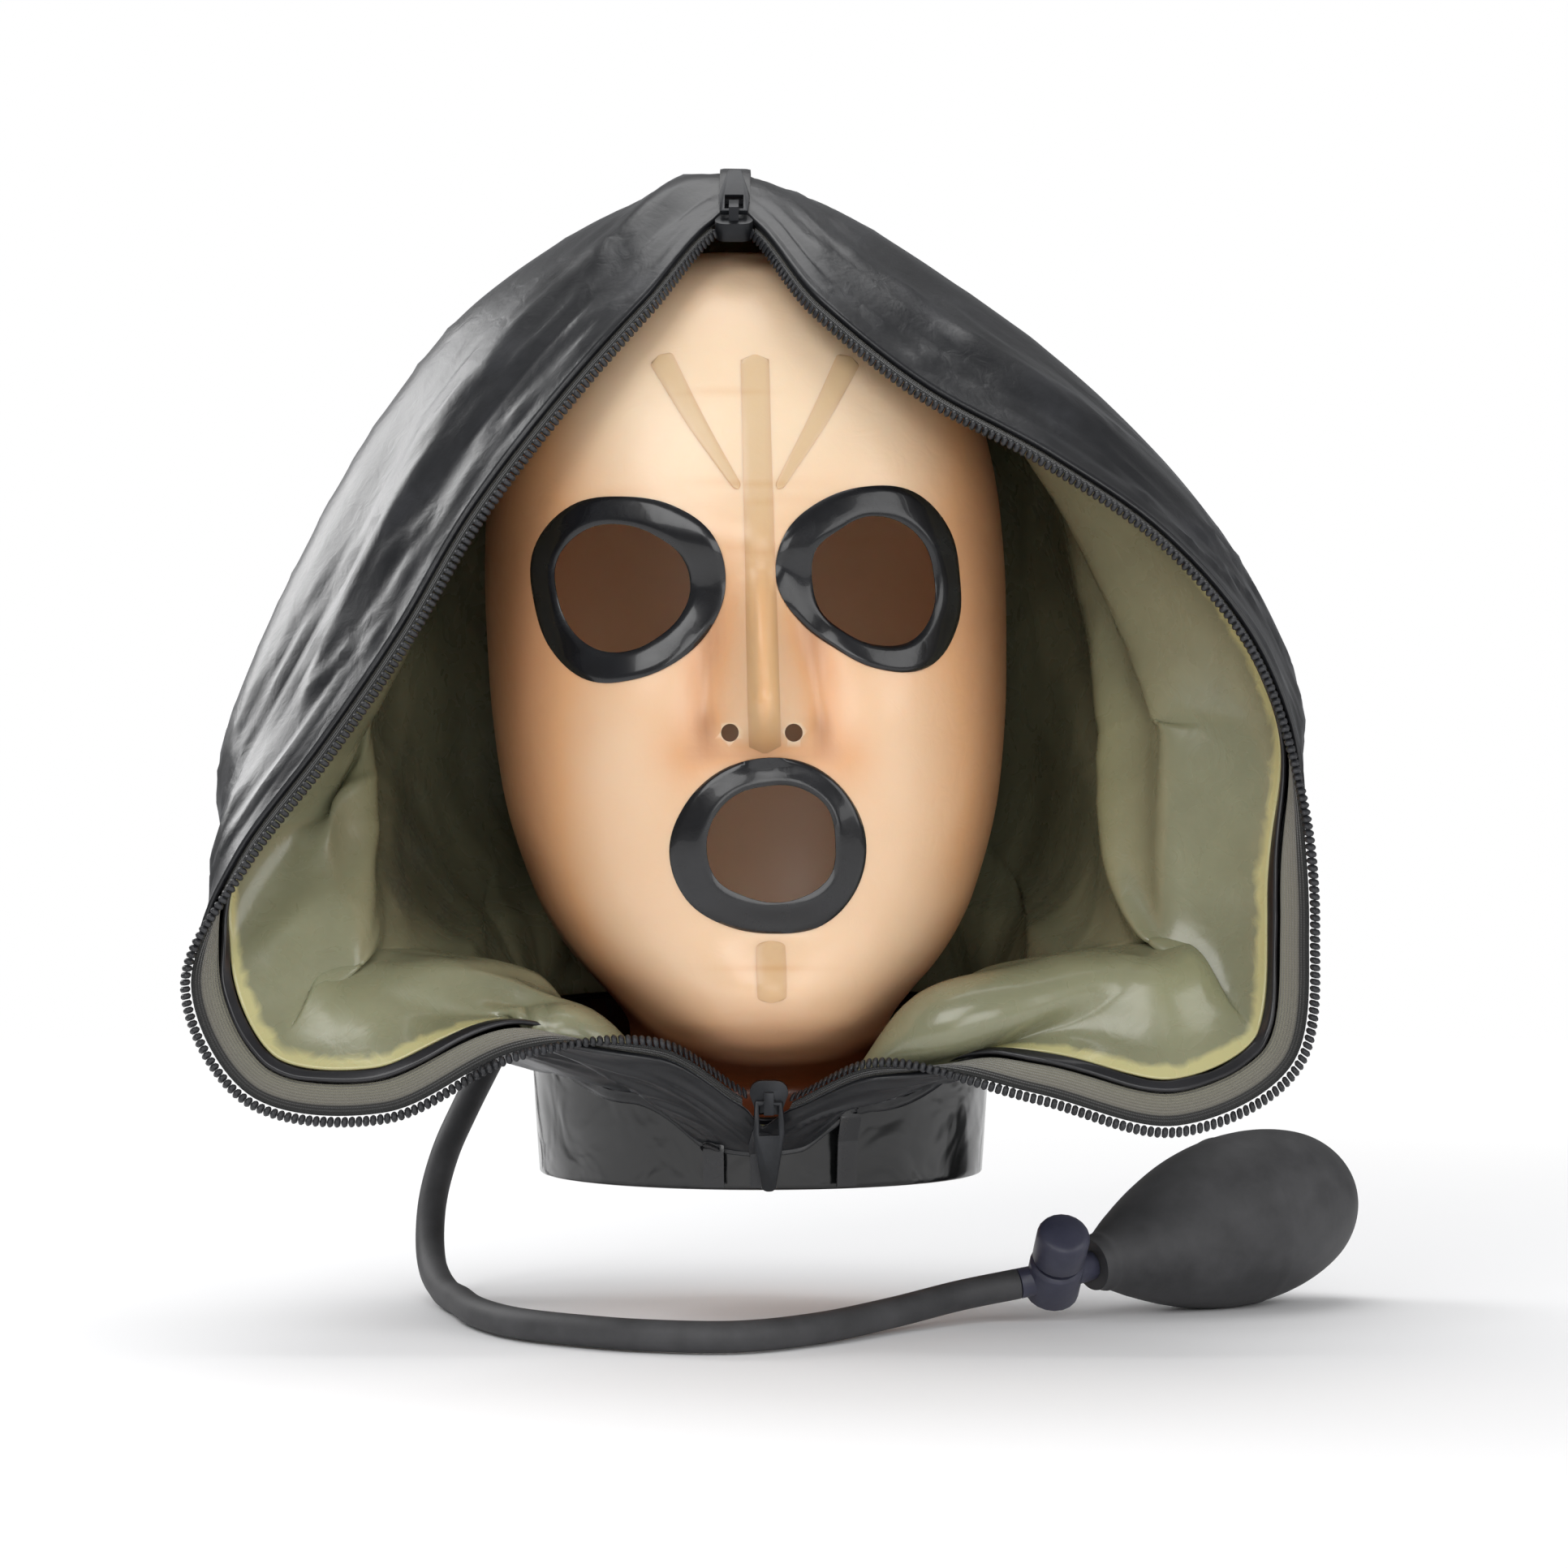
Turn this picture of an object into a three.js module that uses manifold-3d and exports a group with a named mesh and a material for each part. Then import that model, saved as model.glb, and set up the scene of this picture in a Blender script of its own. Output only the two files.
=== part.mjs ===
// A double-walled inflatable latex hood whose front zip stands open around a full latex mask,
// with a collar below it and a hose, release valve and squeeze bulb for pumping it up.
// Millimetres, +Z up, the face looks along -Y. The origin is inside the top of the mask's crown.
import * as THREE from 'three';
import { mergeVertices } from 'three/addons/utils/BufferGeometryUtils.js';
import Module from 'manifold-3d';

const wasm = await Module();
wasm.setup();

// Sizes that can be set one by one
const GAP = 0.3;
const HOOD_HALF_WIDTH = 170;
const HOOD_HEIGHT = 275;
const HOOD_TOP = 20;
const RIM_REACH = 85;
const HOOD_BACK = 125;
const OUTER_WALL = 1.6;
const LINING_WALL = 1.2;
const LINING_SAG = 40;
const FOLD_RISE = 12;
const SEAM_OVERLAP = 4;

const TEETH_RADIUS = 1.5;
const TAPE_WIDTH = 10;
const TAPE_THICK = 1;
const TAPE_SHOWN_OUTSIDE = 2.6;
const STRIP_WIDTH = 3.6;
const CROWN_STRIP_WIDTH = 9;
const CROWN_STRIP_LENGTH = 62;
const TRIM_THICK = 0.8;

const COLLAR_RADIUS = 66;
const COLLAR_FLARE = 3;
const COLLAR_WALL = 1.5;
const COLLAR_BELOW_HOOD = 18.5;
const COLLAR_BOTTOM = HOOD_HEIGHT - HOOD_TOP + COLLAR_BELOW_HOOD;
const COLLAR_CENTRE_Y = 15;
const COLLAR_TALL_BACK = 45.5;
const COLLAR_TALL_FRONT = 9.5;
const FRONT_SHARE = 0.09;
const PLACKET_WIDTH = 6;
const PLACKET_ON_WALL = 14;
const COLLAR_ZIP_WIDTH = 5.4;

const MASK_WALL = 1.6;
const MASK_ABOVE_HEM = 0.5;
const MASK_HEIGHT = COLLAR_BOTTOM - MASK_ABOVE_HEM;
const MASK_HALF_WIDTH = 77.5;
const MASK_DEPTH = 90;
const MASK_LEAN = 0.0275;
const FACE_TURN = 3.3;
const FACE_ROLL = 3.6;
const FEATURE_RISE = 15;
const RING_THICK = 1.2;
const TRIM_CLEAR = 0.45;
const EYE_REACH = 27;
const EYE_SPACING = 34;
const EYE_DROP = 101.8;
const MOUTH_REACH = 27;
const MOUTH_DROP = 174.7;
const EYE_SHIFT = -3.1;
const MOUTH_SHIFT = 0.2;
const NOSTRIL_SHIFT = -0.8;
const NOSTRIL_RADIUS = 2.5;
const NOSTRIL_SPACING = 8.9;
const NOSTRIL_ABOVE_MOUTH = 31.5;
const SEAM_STRIP_WIDTH = 8;
const CHIN_SEAM_LENGTH = 17;
const BROW_SEAM_LENGTH = 39;

const SLIDER_WIDTH = 11;
const SLIDER_LENGTH = 9.6;
const SLIDER_THICK = 5.4;
const BAIL_WIRE = 1.4;
const PULL_LENGTH = 25;
const PULL_WIDTH = 9;
const PULL_TIP_WIDTH = 4.4;
const PULL_THICK = 1.4;

const HOSE_RADIUS = 4.5;
const FLANGE_RADIUS = 12;
const NOZZLE_LENGTH = 15;
const VALVE_RADIUS = 8.2;
const VALVE_BARREL = 14.5;
const BUTTON_LENGTH = 12;
const BUTTON_TRAVEL = 1.5;
const STEM_RADIUS = 3;
const STEM_ENGAGED = 4;
const BULB_LENGTH = 100;
const BULB_RADIUS = 26;
const BULB_CAP_RADIUS = 6.4;

// Zip line, shares of half width, rim reach and hood height: left side from the crown down
const RIM_LEFT = [
  { x: 0.0, y: 0.47, z: 0.058 },
  { x: -0.14, y: 0.78, z: 0.158 },
  { x: -0.28, y: 0.9, z: 0.263 },
  { x: -0.418, y: 0.93, z: 0.377 },
  { x: -0.535, y: 0.94, z: 0.5 },
  { x: -0.665, y: 0.94, z: 0.617 },
  { x: -0.805, y: 0.93, z: 0.73 },
  { x: -0.905, y: 0.9, z: 0.852 },
  { x: -0.8, y: 0.98, z: 0.967 },
  { x: -0.568, y: 1.0, z: 0.985 },
  { x: -0.35, y: 1.0, z: 0.921 },
  { x: -0.12, y: 0.93, z: 0.91 },
  { x: 0.06, y: 0.71, z: 0.974 },
];
// The same on the right side, from the collar up
const RIM_RIGHT = [
  { x: 0.24, y: 0.92, z: 0.93 },
  { x: 0.5, y: 1.02, z: 0.965 },
  { x: 0.735, y: 1.02, z: 0.998 },
  { x: 0.93, y: 0.96, z: 0.935 },
  { x: 0.962, y: 0.92, z: 0.795 },
  { x: 0.937, y: 0.94, z: 0.65 },
  { x: 0.86, y: 0.94, z: 0.512 },
  { x: 0.709, y: 0.94, z: 0.4 },
  { x: 0.513, y: 0.93, z: 0.317 },
  { x: 0.308, y: 0.89, z: 0.247 },
  { x: 0.134, y: 0.79, z: 0.158 },
];
// Widest outline of the wall, every second step of the zip line, all the way round
const OUTLINE = [
  { x: 0.0, y: 0.0, z: 0.0 },
  { x: -0.45, y: 0.04, z: 0.13 },
  { x: -0.735, y: 0.14, z: 0.4 },
  { x: -0.875, y: 0.38, z: 0.655 },
  { x: -0.77, y: 0.56, z: 0.945 },
  { x: -0.35, y: 0.74, z: 0.945 },
  { x: 0.059, y: 0.7, z: 0.994 },
  { x: 0.48, y: 0.74, z: 0.965 },
  { x: 0.9, y: 0.58, z: 0.925 },
  { x: 0.96, y: 0.4, z: 0.62 },
  { x: 0.8, y: 0.12, z: 0.356 },
  { x: 0.41, y: 0.04, z: 0.13 },
];
// Back of the hood and its turn towards the neck, one half from the crown to the front,
// mirrored: shares of half width, of the reach back or, below zero, of the collar's reach
// forward, and of the height
const BACK = [
  { x: 0.0, y: 0.76, z: 0.16 },
  { x: 0.4, y: 0.67, z: 0.27 },
  { x: 0.64, y: 0.55, z: 0.47 },
  { x: 0.75, y: 0.3, z: 0.7 },
  { x: 0.6, y: -0.463, z: 0.925 },
  { x: 0.3, y: -1.157, z: 0.95 },
  { x: 0.0, y: -1.056, z: 1.006 },
];
const NAPE = [
  { x: 0.0, y: 1.0, z: 0.56 },
  { x: 0.24, y: 0.96, z: 0.6 },
  { x: 0.41, y: 0.86, z: 0.67 },
  { x: 0.54, y: 0.42, z: 0.82 },
  { x: 0.44, y: -0.347, z: 0.925 },
  { x: 0.215, y: -0.926, z: 0.98 },
  { x: 0.0, y: -0.995, z: 1.016 },
];
// How far the lining sags from the wall near the rim, at the side and at the back,
// every second step of the zip line, shares of LINING_SAG
const LINING = [
  { near: 0.07, middle: 0.09, back: 0.14 },
  { near: 0.16, middle: 0.14, back: 0.16 },
  { near: 0.62, middle: 0.45, back: 0.25 },
  { near: 0.75, middle: 0.7, back: 0.35 },
  { near: 0.35, middle: 0.5, back: 0.4 },
  { near: 0.08, middle: 0.12, back: 0.08 },
  { near: 0.0, middle: 0.0, back: 0.0 },
  { near: 0.08, middle: 0.12, back: 0.08 },
  { near: 0.35, middle: 0.5, back: 0.4 },
  { near: 0.85, middle: 0.85, back: 0.4 },
  { near: 0.8, middle: 0.5, back: 0.25 },
  { near: 0.1, middle: 0.08, back: 0.15 },
];
// Main folds: steps along the zip line and shares of the way to the collar, with half width
// and height as shares; positive rises outwards on the wall and towards the face on the lining
const OUTER_FOLDS = [
  { fromStep: 1.4, fromWay: 0.12, toStep: 4.6, toWay: 0.07, wide: 0.035, rise: 0.3 },
  { fromStep: 1.0, fromWay: 0.1, toStep: 0.2, toWay: 0.09, wide: 0.03, rise: 0.45 },
  { fromStep: 22.8, fromWay: 0.08, toStep: 20.2, toWay: 0.11, wide: 0.035, rise: 0.35 },
  { fromStep: 5.2, fromWay: 0.1, toStep: 7.0, toWay: 0.22, wide: 0.05, rise: -0.4 },
  { fromStep: 2.6, fromWay: 0.3, toStep: 5.0, toWay: 0.42, wide: 0.06, rise: -0.5 },
  { fromStep: 21.0, fromWay: 0.32, toStep: 18.8, toWay: 0.45, wide: 0.06, rise: -0.5 },
  { fromStep: 23.4, fromWay: 0.55, toStep: 1.8, toWay: 0.72, wide: 0.07, rise: -0.5 },
];
const LINING_FOLDS = [
  { fromStep: 5.4, fromWay: 0.26, toStep: 7.3, toWay: 0.34, wide: 0.06, rise: 1.0 },
  { fromStep: 7.4, fromWay: 0.2, toStep: 9.2, toWay: 0.3, wide: 0.07, rise: 0.7 },
  { fromStep: 19.8, fromWay: 0.3, toStep: 16.4, toWay: 0.36, wide: 0.06, rise: 1.0 },
  { fromStep: 16.2, fromWay: 0.22, toStep: 14.6, toWay: 0.32, wide: 0.06, rise: 0.8 },
];
const STEPS_ROUND = 24;

// Sections of the mask from the crown down: shares of its height, half width and depth,
// with the axis as a share of the way from the crown's axis to the collar's
const MASK_SECTIONS = [
  { down: 0.0, side: 0.0, front: 0.0, back: 0.0, axis: 0 },
  { down: 0.01, side: 0.32, front: 0.25, back: 0.31, axis: 0 },
  { down: 0.034, side: 0.54, front: 0.44, back: 0.53, axis: 0 },
  { down: 0.08, side: 0.73, front: 0.62, back: 0.76, axis: 0 },
  { down: 0.155, side: 0.89, front: 0.78, back: 0.94, axis: 0 },
  { down: 0.24, side: 0.97, front: 0.88, back: 1.01, axis: 0 },
  { down: 0.335, side: 1.0, front: 0.935, back: 1.03, axis: 0 },
  { down: 0.425, side: 1.0, front: 0.95, back: 1.01, axis: 0 },
  { down: 0.515, side: 0.985, front: 0.96, back: 0.96, axis: 0 },
  { down: 0.61, side: 0.945, front: 0.97, back: 0.89, axis: 0 },
  { down: 0.695, side: 0.86, front: 0.975, back: 0.81, axis: 0.1 },
  { down: 0.77, side: 0.74, front: 0.96, back: 0.75, axis: 0.3 },
  { down: 0.818, side: 0.68, front: 0.9, back: 0.69, axis: 0.6 },
  { down: 0.855, side: 0.7, front: 0.74, back: 0.66, axis: 0.9 },
  { down: 0.955, side: 0.74, front: 0.65, back: 0.65, axis: 1 },
];
// Relief of the face: shares of half width, mask height, and FEATURE_RISE
const FEATURES = [
  { side: 0.0, down: 0.505, wide: 0.13, tall: 0.05, rise: 0.95 },
  { side: 0.0, down: 0.44, wide: 0.09, tall: 0.06, rise: 0.5 },
  { side: 0.0, down: 0.33, wide: 0.5, tall: 0.035, rise: 0.2 },
  { side: -0.43, down: 0.378, wide: 0.2, tall: 0.04, rise: -0.42 },
  { side: 0.43, down: 0.378, wide: 0.2, tall: 0.04, rise: -0.42 },
  { side: -0.48, down: 0.513, wide: 0.22, tall: 0.06, rise: 0.25 },
  { side: 0.48, down: 0.513, wide: 0.22, tall: 0.06, rise: 0.25 },
  { side: 0.0, down: 0.635, wide: 0.28, tall: 0.05, rise: 0.3 },
  { side: 0.0, down: 0.775, wide: 0.22, tall: 0.045, rise: 0.35 },
];
// Ring outlines every thirty degrees from the outward side: shares of the eye and mouth reach
const RING_OUTLINES = [
  { leftEye: 1.03, leftHole: 0.78, rightEye: 0.96, rightHole: 0.7, mouth: 1.01, mouthHole: 0.71 },
  { leftEye: 1.15, leftHole: 0.91, rightEye: 1.01, rightHole: 0.71, mouth: 0.97, mouthHole: 0.74 },
  { leftEye: 1.13, leftHole: 0.84, rightEye: 1.04, rightHole: 0.7, mouth: 0.94, mouthHole: 0.69 },
  { leftEye: 1.02, leftHole: 0.71, rightEye: 0.97, rightHole: 0.67, mouth: 0.91, mouthHole: 0.63 },
  { leftEye: 1.02, leftHole: 0.63, rightEye: 0.96, rightHole: 0.62, mouth: 0.92, mouthHole: 0.64 },
  { leftEye: 1.06, leftHole: 0.73, rightEye: 1.0, rightHole: 0.66, mouth: 0.96, mouthHole: 0.65 },
  { leftEye: 1.01, leftHole: 0.66, rightEye: 0.98, rightHole: 0.63, mouth: 1.03, mouthHole: 0.66 },
  { leftEye: 0.92, leftHole: 0.57, rightEye: 0.86, rightHole: 0.64, mouth: 1.02, mouthHole: 0.66 },
  { leftEye: 0.87, leftHole: 0.56, rightEye: 0.82, rightHole: 0.64, mouth: 0.94, mouthHole: 0.6 },
  { leftEye: 0.9, leftHole: 0.61, rightEye: 0.94, rightHole: 0.71, mouth: 0.92, mouthHole: 0.61 },
  { leftEye: 1.0, leftHole: 0.69, rightEye: 1.1, rightHole: 0.79, mouth: 1.0, mouthHole: 0.66 },
  { leftEye: 1.01, leftHole: 0.73, rightEye: 1.04, rightHole: 0.76, mouth: 1.02, mouthHole: 0.73 },
];
// Route of the hose after its nozzle, chosen by hand, to the valve
const HOSE_ROUTE = [
  [-71, 102, -228],
  [-80, 95, -246],
  [-87.2, 85.5, -261],
  [-92.6, 77, -273.9],
  [-95.9, 71, -287],
  [-96.5, 64, -298],
  [-94.9, 53, -307],
  [-89.5, 32, -312.4],
  [-82.5, 5, -312.6],
  [-75.9, -21, -312.6],
  [-62.4, -48, -312.6],
  [-43.3, -65, -312.6],
  [-23.4, -76, -312.6],
  [0.8, -79, -312.6],
  [22.5, -62, -312.6],
  [45.9, -32, -311.6],
  [67, -12, -308.8],
];
const VALVE_AXIS = [0.1, -0.7, 0.7];
const BULB_NECK = [106.5, 3, -301.5];
const BULB_AXIS = [0.8, 0.577, 0.173];

// Small helpers
const vec = (x, y, z) => new THREE.Vector3(x, y, z);
const mix = (a, b, t) => a + (b - a) * t;
const clamp = (v, low, high) => Math.min(high, Math.max(low, v));
const radians = (degrees) => degrees * Math.PI / 180;

function softStep(t) {
  const c = clamp(t, 0, 1);
  return c * c * (3 - 2 * c);
}

// Smooth value through a table's column at a place between its rows
function rowValue(rows, column, place, closed) {
  const count = rows.length;
  const at = (i) => rows[closed ? ((i % count) + count) % count : clamp(i, 0, count - 1)][column];
  const i = Math.floor(place);
  const t = place - i;
  const [a, b, c, d] = [at(i - 1), at(i), at(i + 1), at(i + 2)];
  return 0.5 * (2 * b + (c - a) * t + (2 * a - 5 * b + 4 * c - d) * t * t
    + (3 * b - a - 3 * c + d) * t * t * t);
}

function geometryFrom(points, faces) {
  const geometry = new THREE.BufferGeometry();
  const flat = points.flatMap((p) => [p.x, p.y, p.z]);
  geometry.setAttribute('position', new THREE.Float32BufferAttribute(flat, 3));
  geometry.setIndex(faces.flat());
  return geometry;
}

function signedVolume(points, faces) {
  let total = 0;
  for (const [a, b, c] of faces) {
    total += points[a].dot(points[b].clone().cross(points[c]));
  }
  return total / 6;
}

// A closed body through sections that all have the same number of points.
// closed joins the last section to the first; otherwise both ends are filled.
function loft(sections, closed) {
  const points = [];
  const known = new Map();
  const indexOf = (p) => {
    const key = `${p.x.toFixed(4)},${p.y.toFixed(4)},${p.z.toFixed(4)}`;
    if (!known.has(key)) {
      known.set(key, points.length);
      points.push(p);
    }
    return known.get(key);
  };
  const rings = sections.map((section) => section.map(indexOf));
  const faces = [];
  const addFace = (a, b, c) => {
    if (a !== b && b !== c && a !== c) faces.push([a, b, c]);
  };
  const count = rings[0].length;
  const spans = closed ? rings.length : rings.length - 1;
  for (let i = 0; i < spans; i += 1) {
    const one = rings[i];
    const two = rings[(i + 1) % rings.length];
    for (let j = 0; j < count; j += 1) {
      const k = (j + 1) % count;
      addFace(one[j], two[j], two[k]);
      addFace(one[j], two[k], one[k]);
    }
  }
  if (!closed) {
    const last = rings[rings.length - 1];
    for (let j = 1; j < count - 1; j += 1) {
      addFace(rings[0][0], rings[0][j], rings[0][j + 1]);
      addFace(last[0], last[j + 1], last[j]);
    }
  }
  if (signedVolume(points, faces) < 0) faces.forEach((face) => face.reverse());
  return geometryFrom(points, faces);
}

function solidOf(geometry) {
  const bare = geometry.clone();
  bare.deleteAttribute('normal');
  bare.deleteAttribute('uv');
  const merged = mergeVertices(bare, 1e-4);
  return new wasm.Manifold(new wasm.Mesh({
    numProp: 3,
    vertProperties: Float32Array.from(merged.attributes.position.array),
    triVerts: Uint32Array.from(merged.index.array),
  }));
}

function geometryOf(solid) {
  const mesh = solid.getMesh();
  const geometry = new THREE.BufferGeometry();
  geometry.setAttribute('position', new THREE.Float32BufferAttribute(mesh.vertProperties, 3));
  geometry.setIndex(Array.from(mesh.triVerts));
  return geometry;
}

// The hood's wall: a sheet from the zip line over the sides and back to the collar

function rowPoint(row, ySize) {
  return vec(row.x * HOOD_HALF_WIDTH, row.y * ySize, HOOD_TOP - row.z * HOOD_HEIGHT);
}

function closedCurve(points) {
  return new THREE.CatmullRomCurve3(points, true, 'centripetal');
}

// The two halves lean with the mask; behind they reach to the hood's back, in front to the collar's
const collarReach = COLLAR_RADIUS + COLLAR_FLARE - COLLAR_CENTRE_Y;
function mirroredLoop(rows) {
  const half = (row, side) => {
    const point = rowPoint({ ...row, x: side * row.x }, row.y < 0 ? collarReach : HOOD_BACK);
    point.x -= MASK_LEAN * point.z;
    return point;
  };
  const left = rows.map((row) => half(row, -1));
  const right = rows.slice(1, -1).reverse().map((row) => half(row, 1));
  return closedCurve([...left, ...right]);
}

const rimCurve = closedCurve([...RIM_LEFT, ...RIM_RIGHT].map((row) => rowPoint(row, -RIM_REACH)));
const outlineCurve = closedCurve(OUTLINE.map((row) => rowPoint(row, -RIM_REACH)));
const backCurve = mirroredLoop(BACK);
const napeCurve = mirroredLoop(NAPE);
const collarCentreX = MASK_LEAN * COLLAR_BOTTOM;

// Share 0 is the back of the neck, 0.5 the front; the collar grows wider upwards
function seamDrop(share) {
  const front = (1 - Math.cos(share * 2 * Math.PI)) / 2;
  return COLLAR_BOTTOM - COLLAR_TALL_BACK + (COLLAR_TALL_BACK - COLLAR_TALL_FRONT) * front ** 4;
}

function collarPoint(share, drop, out) {
  const rise = (COLLAR_BOTTOM - drop) / COLLAR_TALL_BACK;
  const radius = COLLAR_RADIUS + COLLAR_FLARE * rise + out;
  const turn = share * 2 * Math.PI;
  const x = collarCentreX - radius * Math.sin(turn);
  return vec(x, COLLAR_CENTRE_Y + radius * Math.cos(turn), -drop);
}

const profiles = new Map();
function profileAt(share) {
  const u = ((share % 1) + 1) % 1;
  const key = u.toFixed(6);
  if (!profiles.has(key)) {
    const rim = rimCurve.getPoint(u);
    const nape = napeCurve.getPoint(u);
    const drop = seamDrop(u);
    const end = collarPoint(u, drop, 0);
    const lead = Math.min(SEAM_OVERLAP + 1, nape.distanceTo(end) * 0.4);
    const lower = collarPoint(u, drop - lead, 0);
    // At the front the wall runs straight from the zip to the collar
    const straight = 1 - softStep(Math.abs(u - 0.5) / FRONT_SHARE);
    const outline = outlineCurve.getPoint(u).lerp(rim.clone().lerp(nape, 0.35), straight);
    const back = backCurve.getPoint(u).lerp(rim.clone().lerp(nape, 0.7), straight);
    const path = [rim, outline, back, nape, lower, end];
    const curve = new THREE.CatmullRomCurve3(path, false, 'centripetal');
    curve.arcLengthDivisions = 120;
    profiles.set(key, { curve, length: curve.getLength() });
  }
  return profiles.get(key);
}

function sheetPoint(share, way) {
  return profileAt(share).curve.getPointAt(clamp(way, 0, 1));
}

function sheetNormal(share, way) {
  const turn = 0.006;
  const step = 0.01;
  const along = sheetPoint(share + turn, way).sub(sheetPoint(share - turn, way));
  const across = sheetPoint(share, way + step).sub(sheetPoint(share, way - step));
  return across.cross(along).normalize();
}

const wallLength = (share) => profileAt(share).length;

// A place on the wall: share round the zip line, millimetres from it, millimetres outwards.
// Past the wall's end it goes straight on down the collar.
function wallPoint(share, across, out) {
  const length = wallLength(share);
  if (across > length) {
    return collarPoint(share, seamDrop(share) + across - length, out);
  }
  const way = across / length;
  return sheetPoint(share, way).addScaledVector(sheetNormal(share, way), out);
}

function foldHeight(folds, share, way) {
  const step = (((share % 1) + 1) % 1) * STEPS_ROUND;
  let height = 0;
  for (const fold of folds) {
    const from = fold.fromStep;
    const span = fold.toStep - from;
    const turns = span > STEPS_ROUND / 2 ? span - STEPS_ROUND : span;
    const whole = turns < -STEPS_ROUND / 2 ? turns + STEPS_ROUND : turns;
    let off = step - from;
    if (off > STEPS_ROUND / 2) off -= STEPS_ROUND;
    if (off < -STEPS_ROUND / 2) off += STEPS_ROUND;
    const scale = 2 / STEPS_ROUND;
    const [dx, dy] = [whole * scale, fold.toWay - fold.fromWay];
    const [px, py] = [off * scale, way - fold.fromWay];
    const t = clamp((px * dx + py * dy) / (dx * dx + dy * dy), 0, 1);
    const distance = Math.hypot(px - dx * t, py - dy * t);
    const taper = Math.sin(Math.PI * mix(0.15, 0.85, t));
    height += fold.rise * FOLD_RISE * taper * Math.exp(-((distance / fold.wide) ** 2));
  }
  return height;
}

const sheetHalf = Math.max(TAPE_THICK, COLLAR_WALL) / 2 + GAP * 1.5;
const tapeStart = TEETH_RADIUS + GAP + 0.1;
const stripStart = TAPE_WIDTH - STRIP_WIDTH * 0.3;
const liningStart = stripStart + STRIP_WIDTH + GAP;
const bandRoom = liningStart + SEAM_OVERLAP + 2;

// Bands beside the zip narrow where the wall is short, at the front of the collar
function bandPlace(share, across) {
  const scale = Math.min(1, (wallLength(share) - tapeStart - SEAM_OVERLAP - 2) / bandRoom);
  return tapeStart + across * scale;
}

// The wall's edge steps back from the sliders
function sliderRelief(share) {
  const off = Math.min(Math.abs(share), Math.abs(share - 0.5), Math.abs(share - 1));
  return SLIDER_LENGTH * 0.45 * (1 - softStep(off / SLIDER_ROOM));
}

function blendAlong(share, way) {
  const length = wallLength(share);
  const room = clamp((length - 30) / 90, 0, 1);
  const fromRim = softStep((way * length - liningStart) / 30);
  const fromEnd = softStep(((1 - way) * length - SEAM_OVERLAP - 2) / 30);
  return room * fromRim * fromEnd;
}

function outerLift(share, way) {
  return blendAlong(share, way) * foldHeight(OUTER_FOLDS, share, way);
}

function liningDrop(share, way) {
  const place = (((share % 1) + 1) % 1) * LINING.length;
  const columns = [
    rowValue(LINING, 'near', place, true),
    rowValue(LINING, 'middle', place, true),
    rowValue(LINING, 'back', place, true),
  ];
  const slot = clamp((way - 0.2) / 0.27, 0, 1.999);
  const i = Math.floor(slot);
  const sag = mix(columns[i], columns[i + 1], softStep(slot - i)) * LINING_SAG;
  const fold = foldHeight(LINING_FOLDS, share, way);
  return blendAlong(share, way) * Math.max(GAP, sag + fold);
}

// Columns round the zip line, shared by all that lies on the wall, with closer ones at the sliders
const HOOD_COLUMNS = 48;
const SLIDER_ROOM = 0.0105;
const OUTER_ROWS = 9;
const LINING_ROWS = 9;

function hoodShares() {
  const even = Array.from({ length: HOOD_COLUMNS }, (_, i) => i / HOOD_COLUMNS);
  const close = [SLIDER_ROOM, 0.5 - SLIDER_ROOM, 0.5 + SLIDER_ROOM, 1 - SLIDER_ROOM];
  return [...even, ...close].sort((a, b) => a - b);
}

const allShares = hoodShares();
const sharesWithin = (from, to) => allShares.filter((u) => u > from - 1e-6 && u < to + 1e-6);

// Rows crowd towards the rim, where the sheet is seen from both sides
function rowWays(rows, from, second, to) {
  const rest = Array.from({ length: rows }, (_, j) => mix(second, to, (j / (rows - 1)) ** 1.1));
  return [from, ...rest];
}

function outerShell() {
  const sections = [];
  for (const share of allShares) {
    const length = wallLength(share);
    const from = (bandPlace(share, TAPE_SHOWN_OUTSIDE) + sliderRelief(share)) / length;
    const ways = rowWays(OUTER_ROWS, from, bandPlace(share, TAPE_WIDTH) / length, 1);
    const at = (way, out) => wallPoint(share, way * length, sheetHalf + outerLift(share, way) + out);
    const outside = ways.map((way) => at(way, OUTER_WALL));
    const inside = ways.map((way) => at(way, 0)).reverse();
    sections.push([...outside, ...inside]);
  }
  return loft(sections, true);
}

function innerLining() {
  const sections = [];
  for (const share of allShares) {
    const length = wallLength(share);
    const from = bandPlace(share, liningStart) / length;
    const to = 1 - (SEAM_OVERLAP + 1) / length;
    const second = bandPlace(share, liningStart + TAPE_WIDTH * 0.7) / length;
    const ways = rowWays(LINING_ROWS, from, Math.min(second, mix(from, to, 0.4)), to);
    const at = (way, out) => wallPoint(share, way * length, out - sheetHalf - liningDrop(share, way));
    const outside = ways.map((way) => at(way, 0));
    const inside = ways.map((way) => at(way, -LINING_WALL)).reverse();
    sections.push([...outside, ...inside]);
  }
  return loft(sections, true);
}

// A flat band beside the zip line between two distances and two heights
function rimBand(shares, from, to, low, high, closed) {
  const sections = shares.map((share) => {
    const [near, far] = [bandPlace(share, from), bandPlace(share, to)];
    return [wallPoint(share, near, low), wallPoint(share, far, low),
      wallPoint(share, far, high), wallPoint(share, near, high)];
  });
  return loft(sections, closed);
}

function sharesBetween(from, to, count) {
  return Array.from({ length: count + 1 }, (_, i) => mix(from, to, i / count));
}

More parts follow.
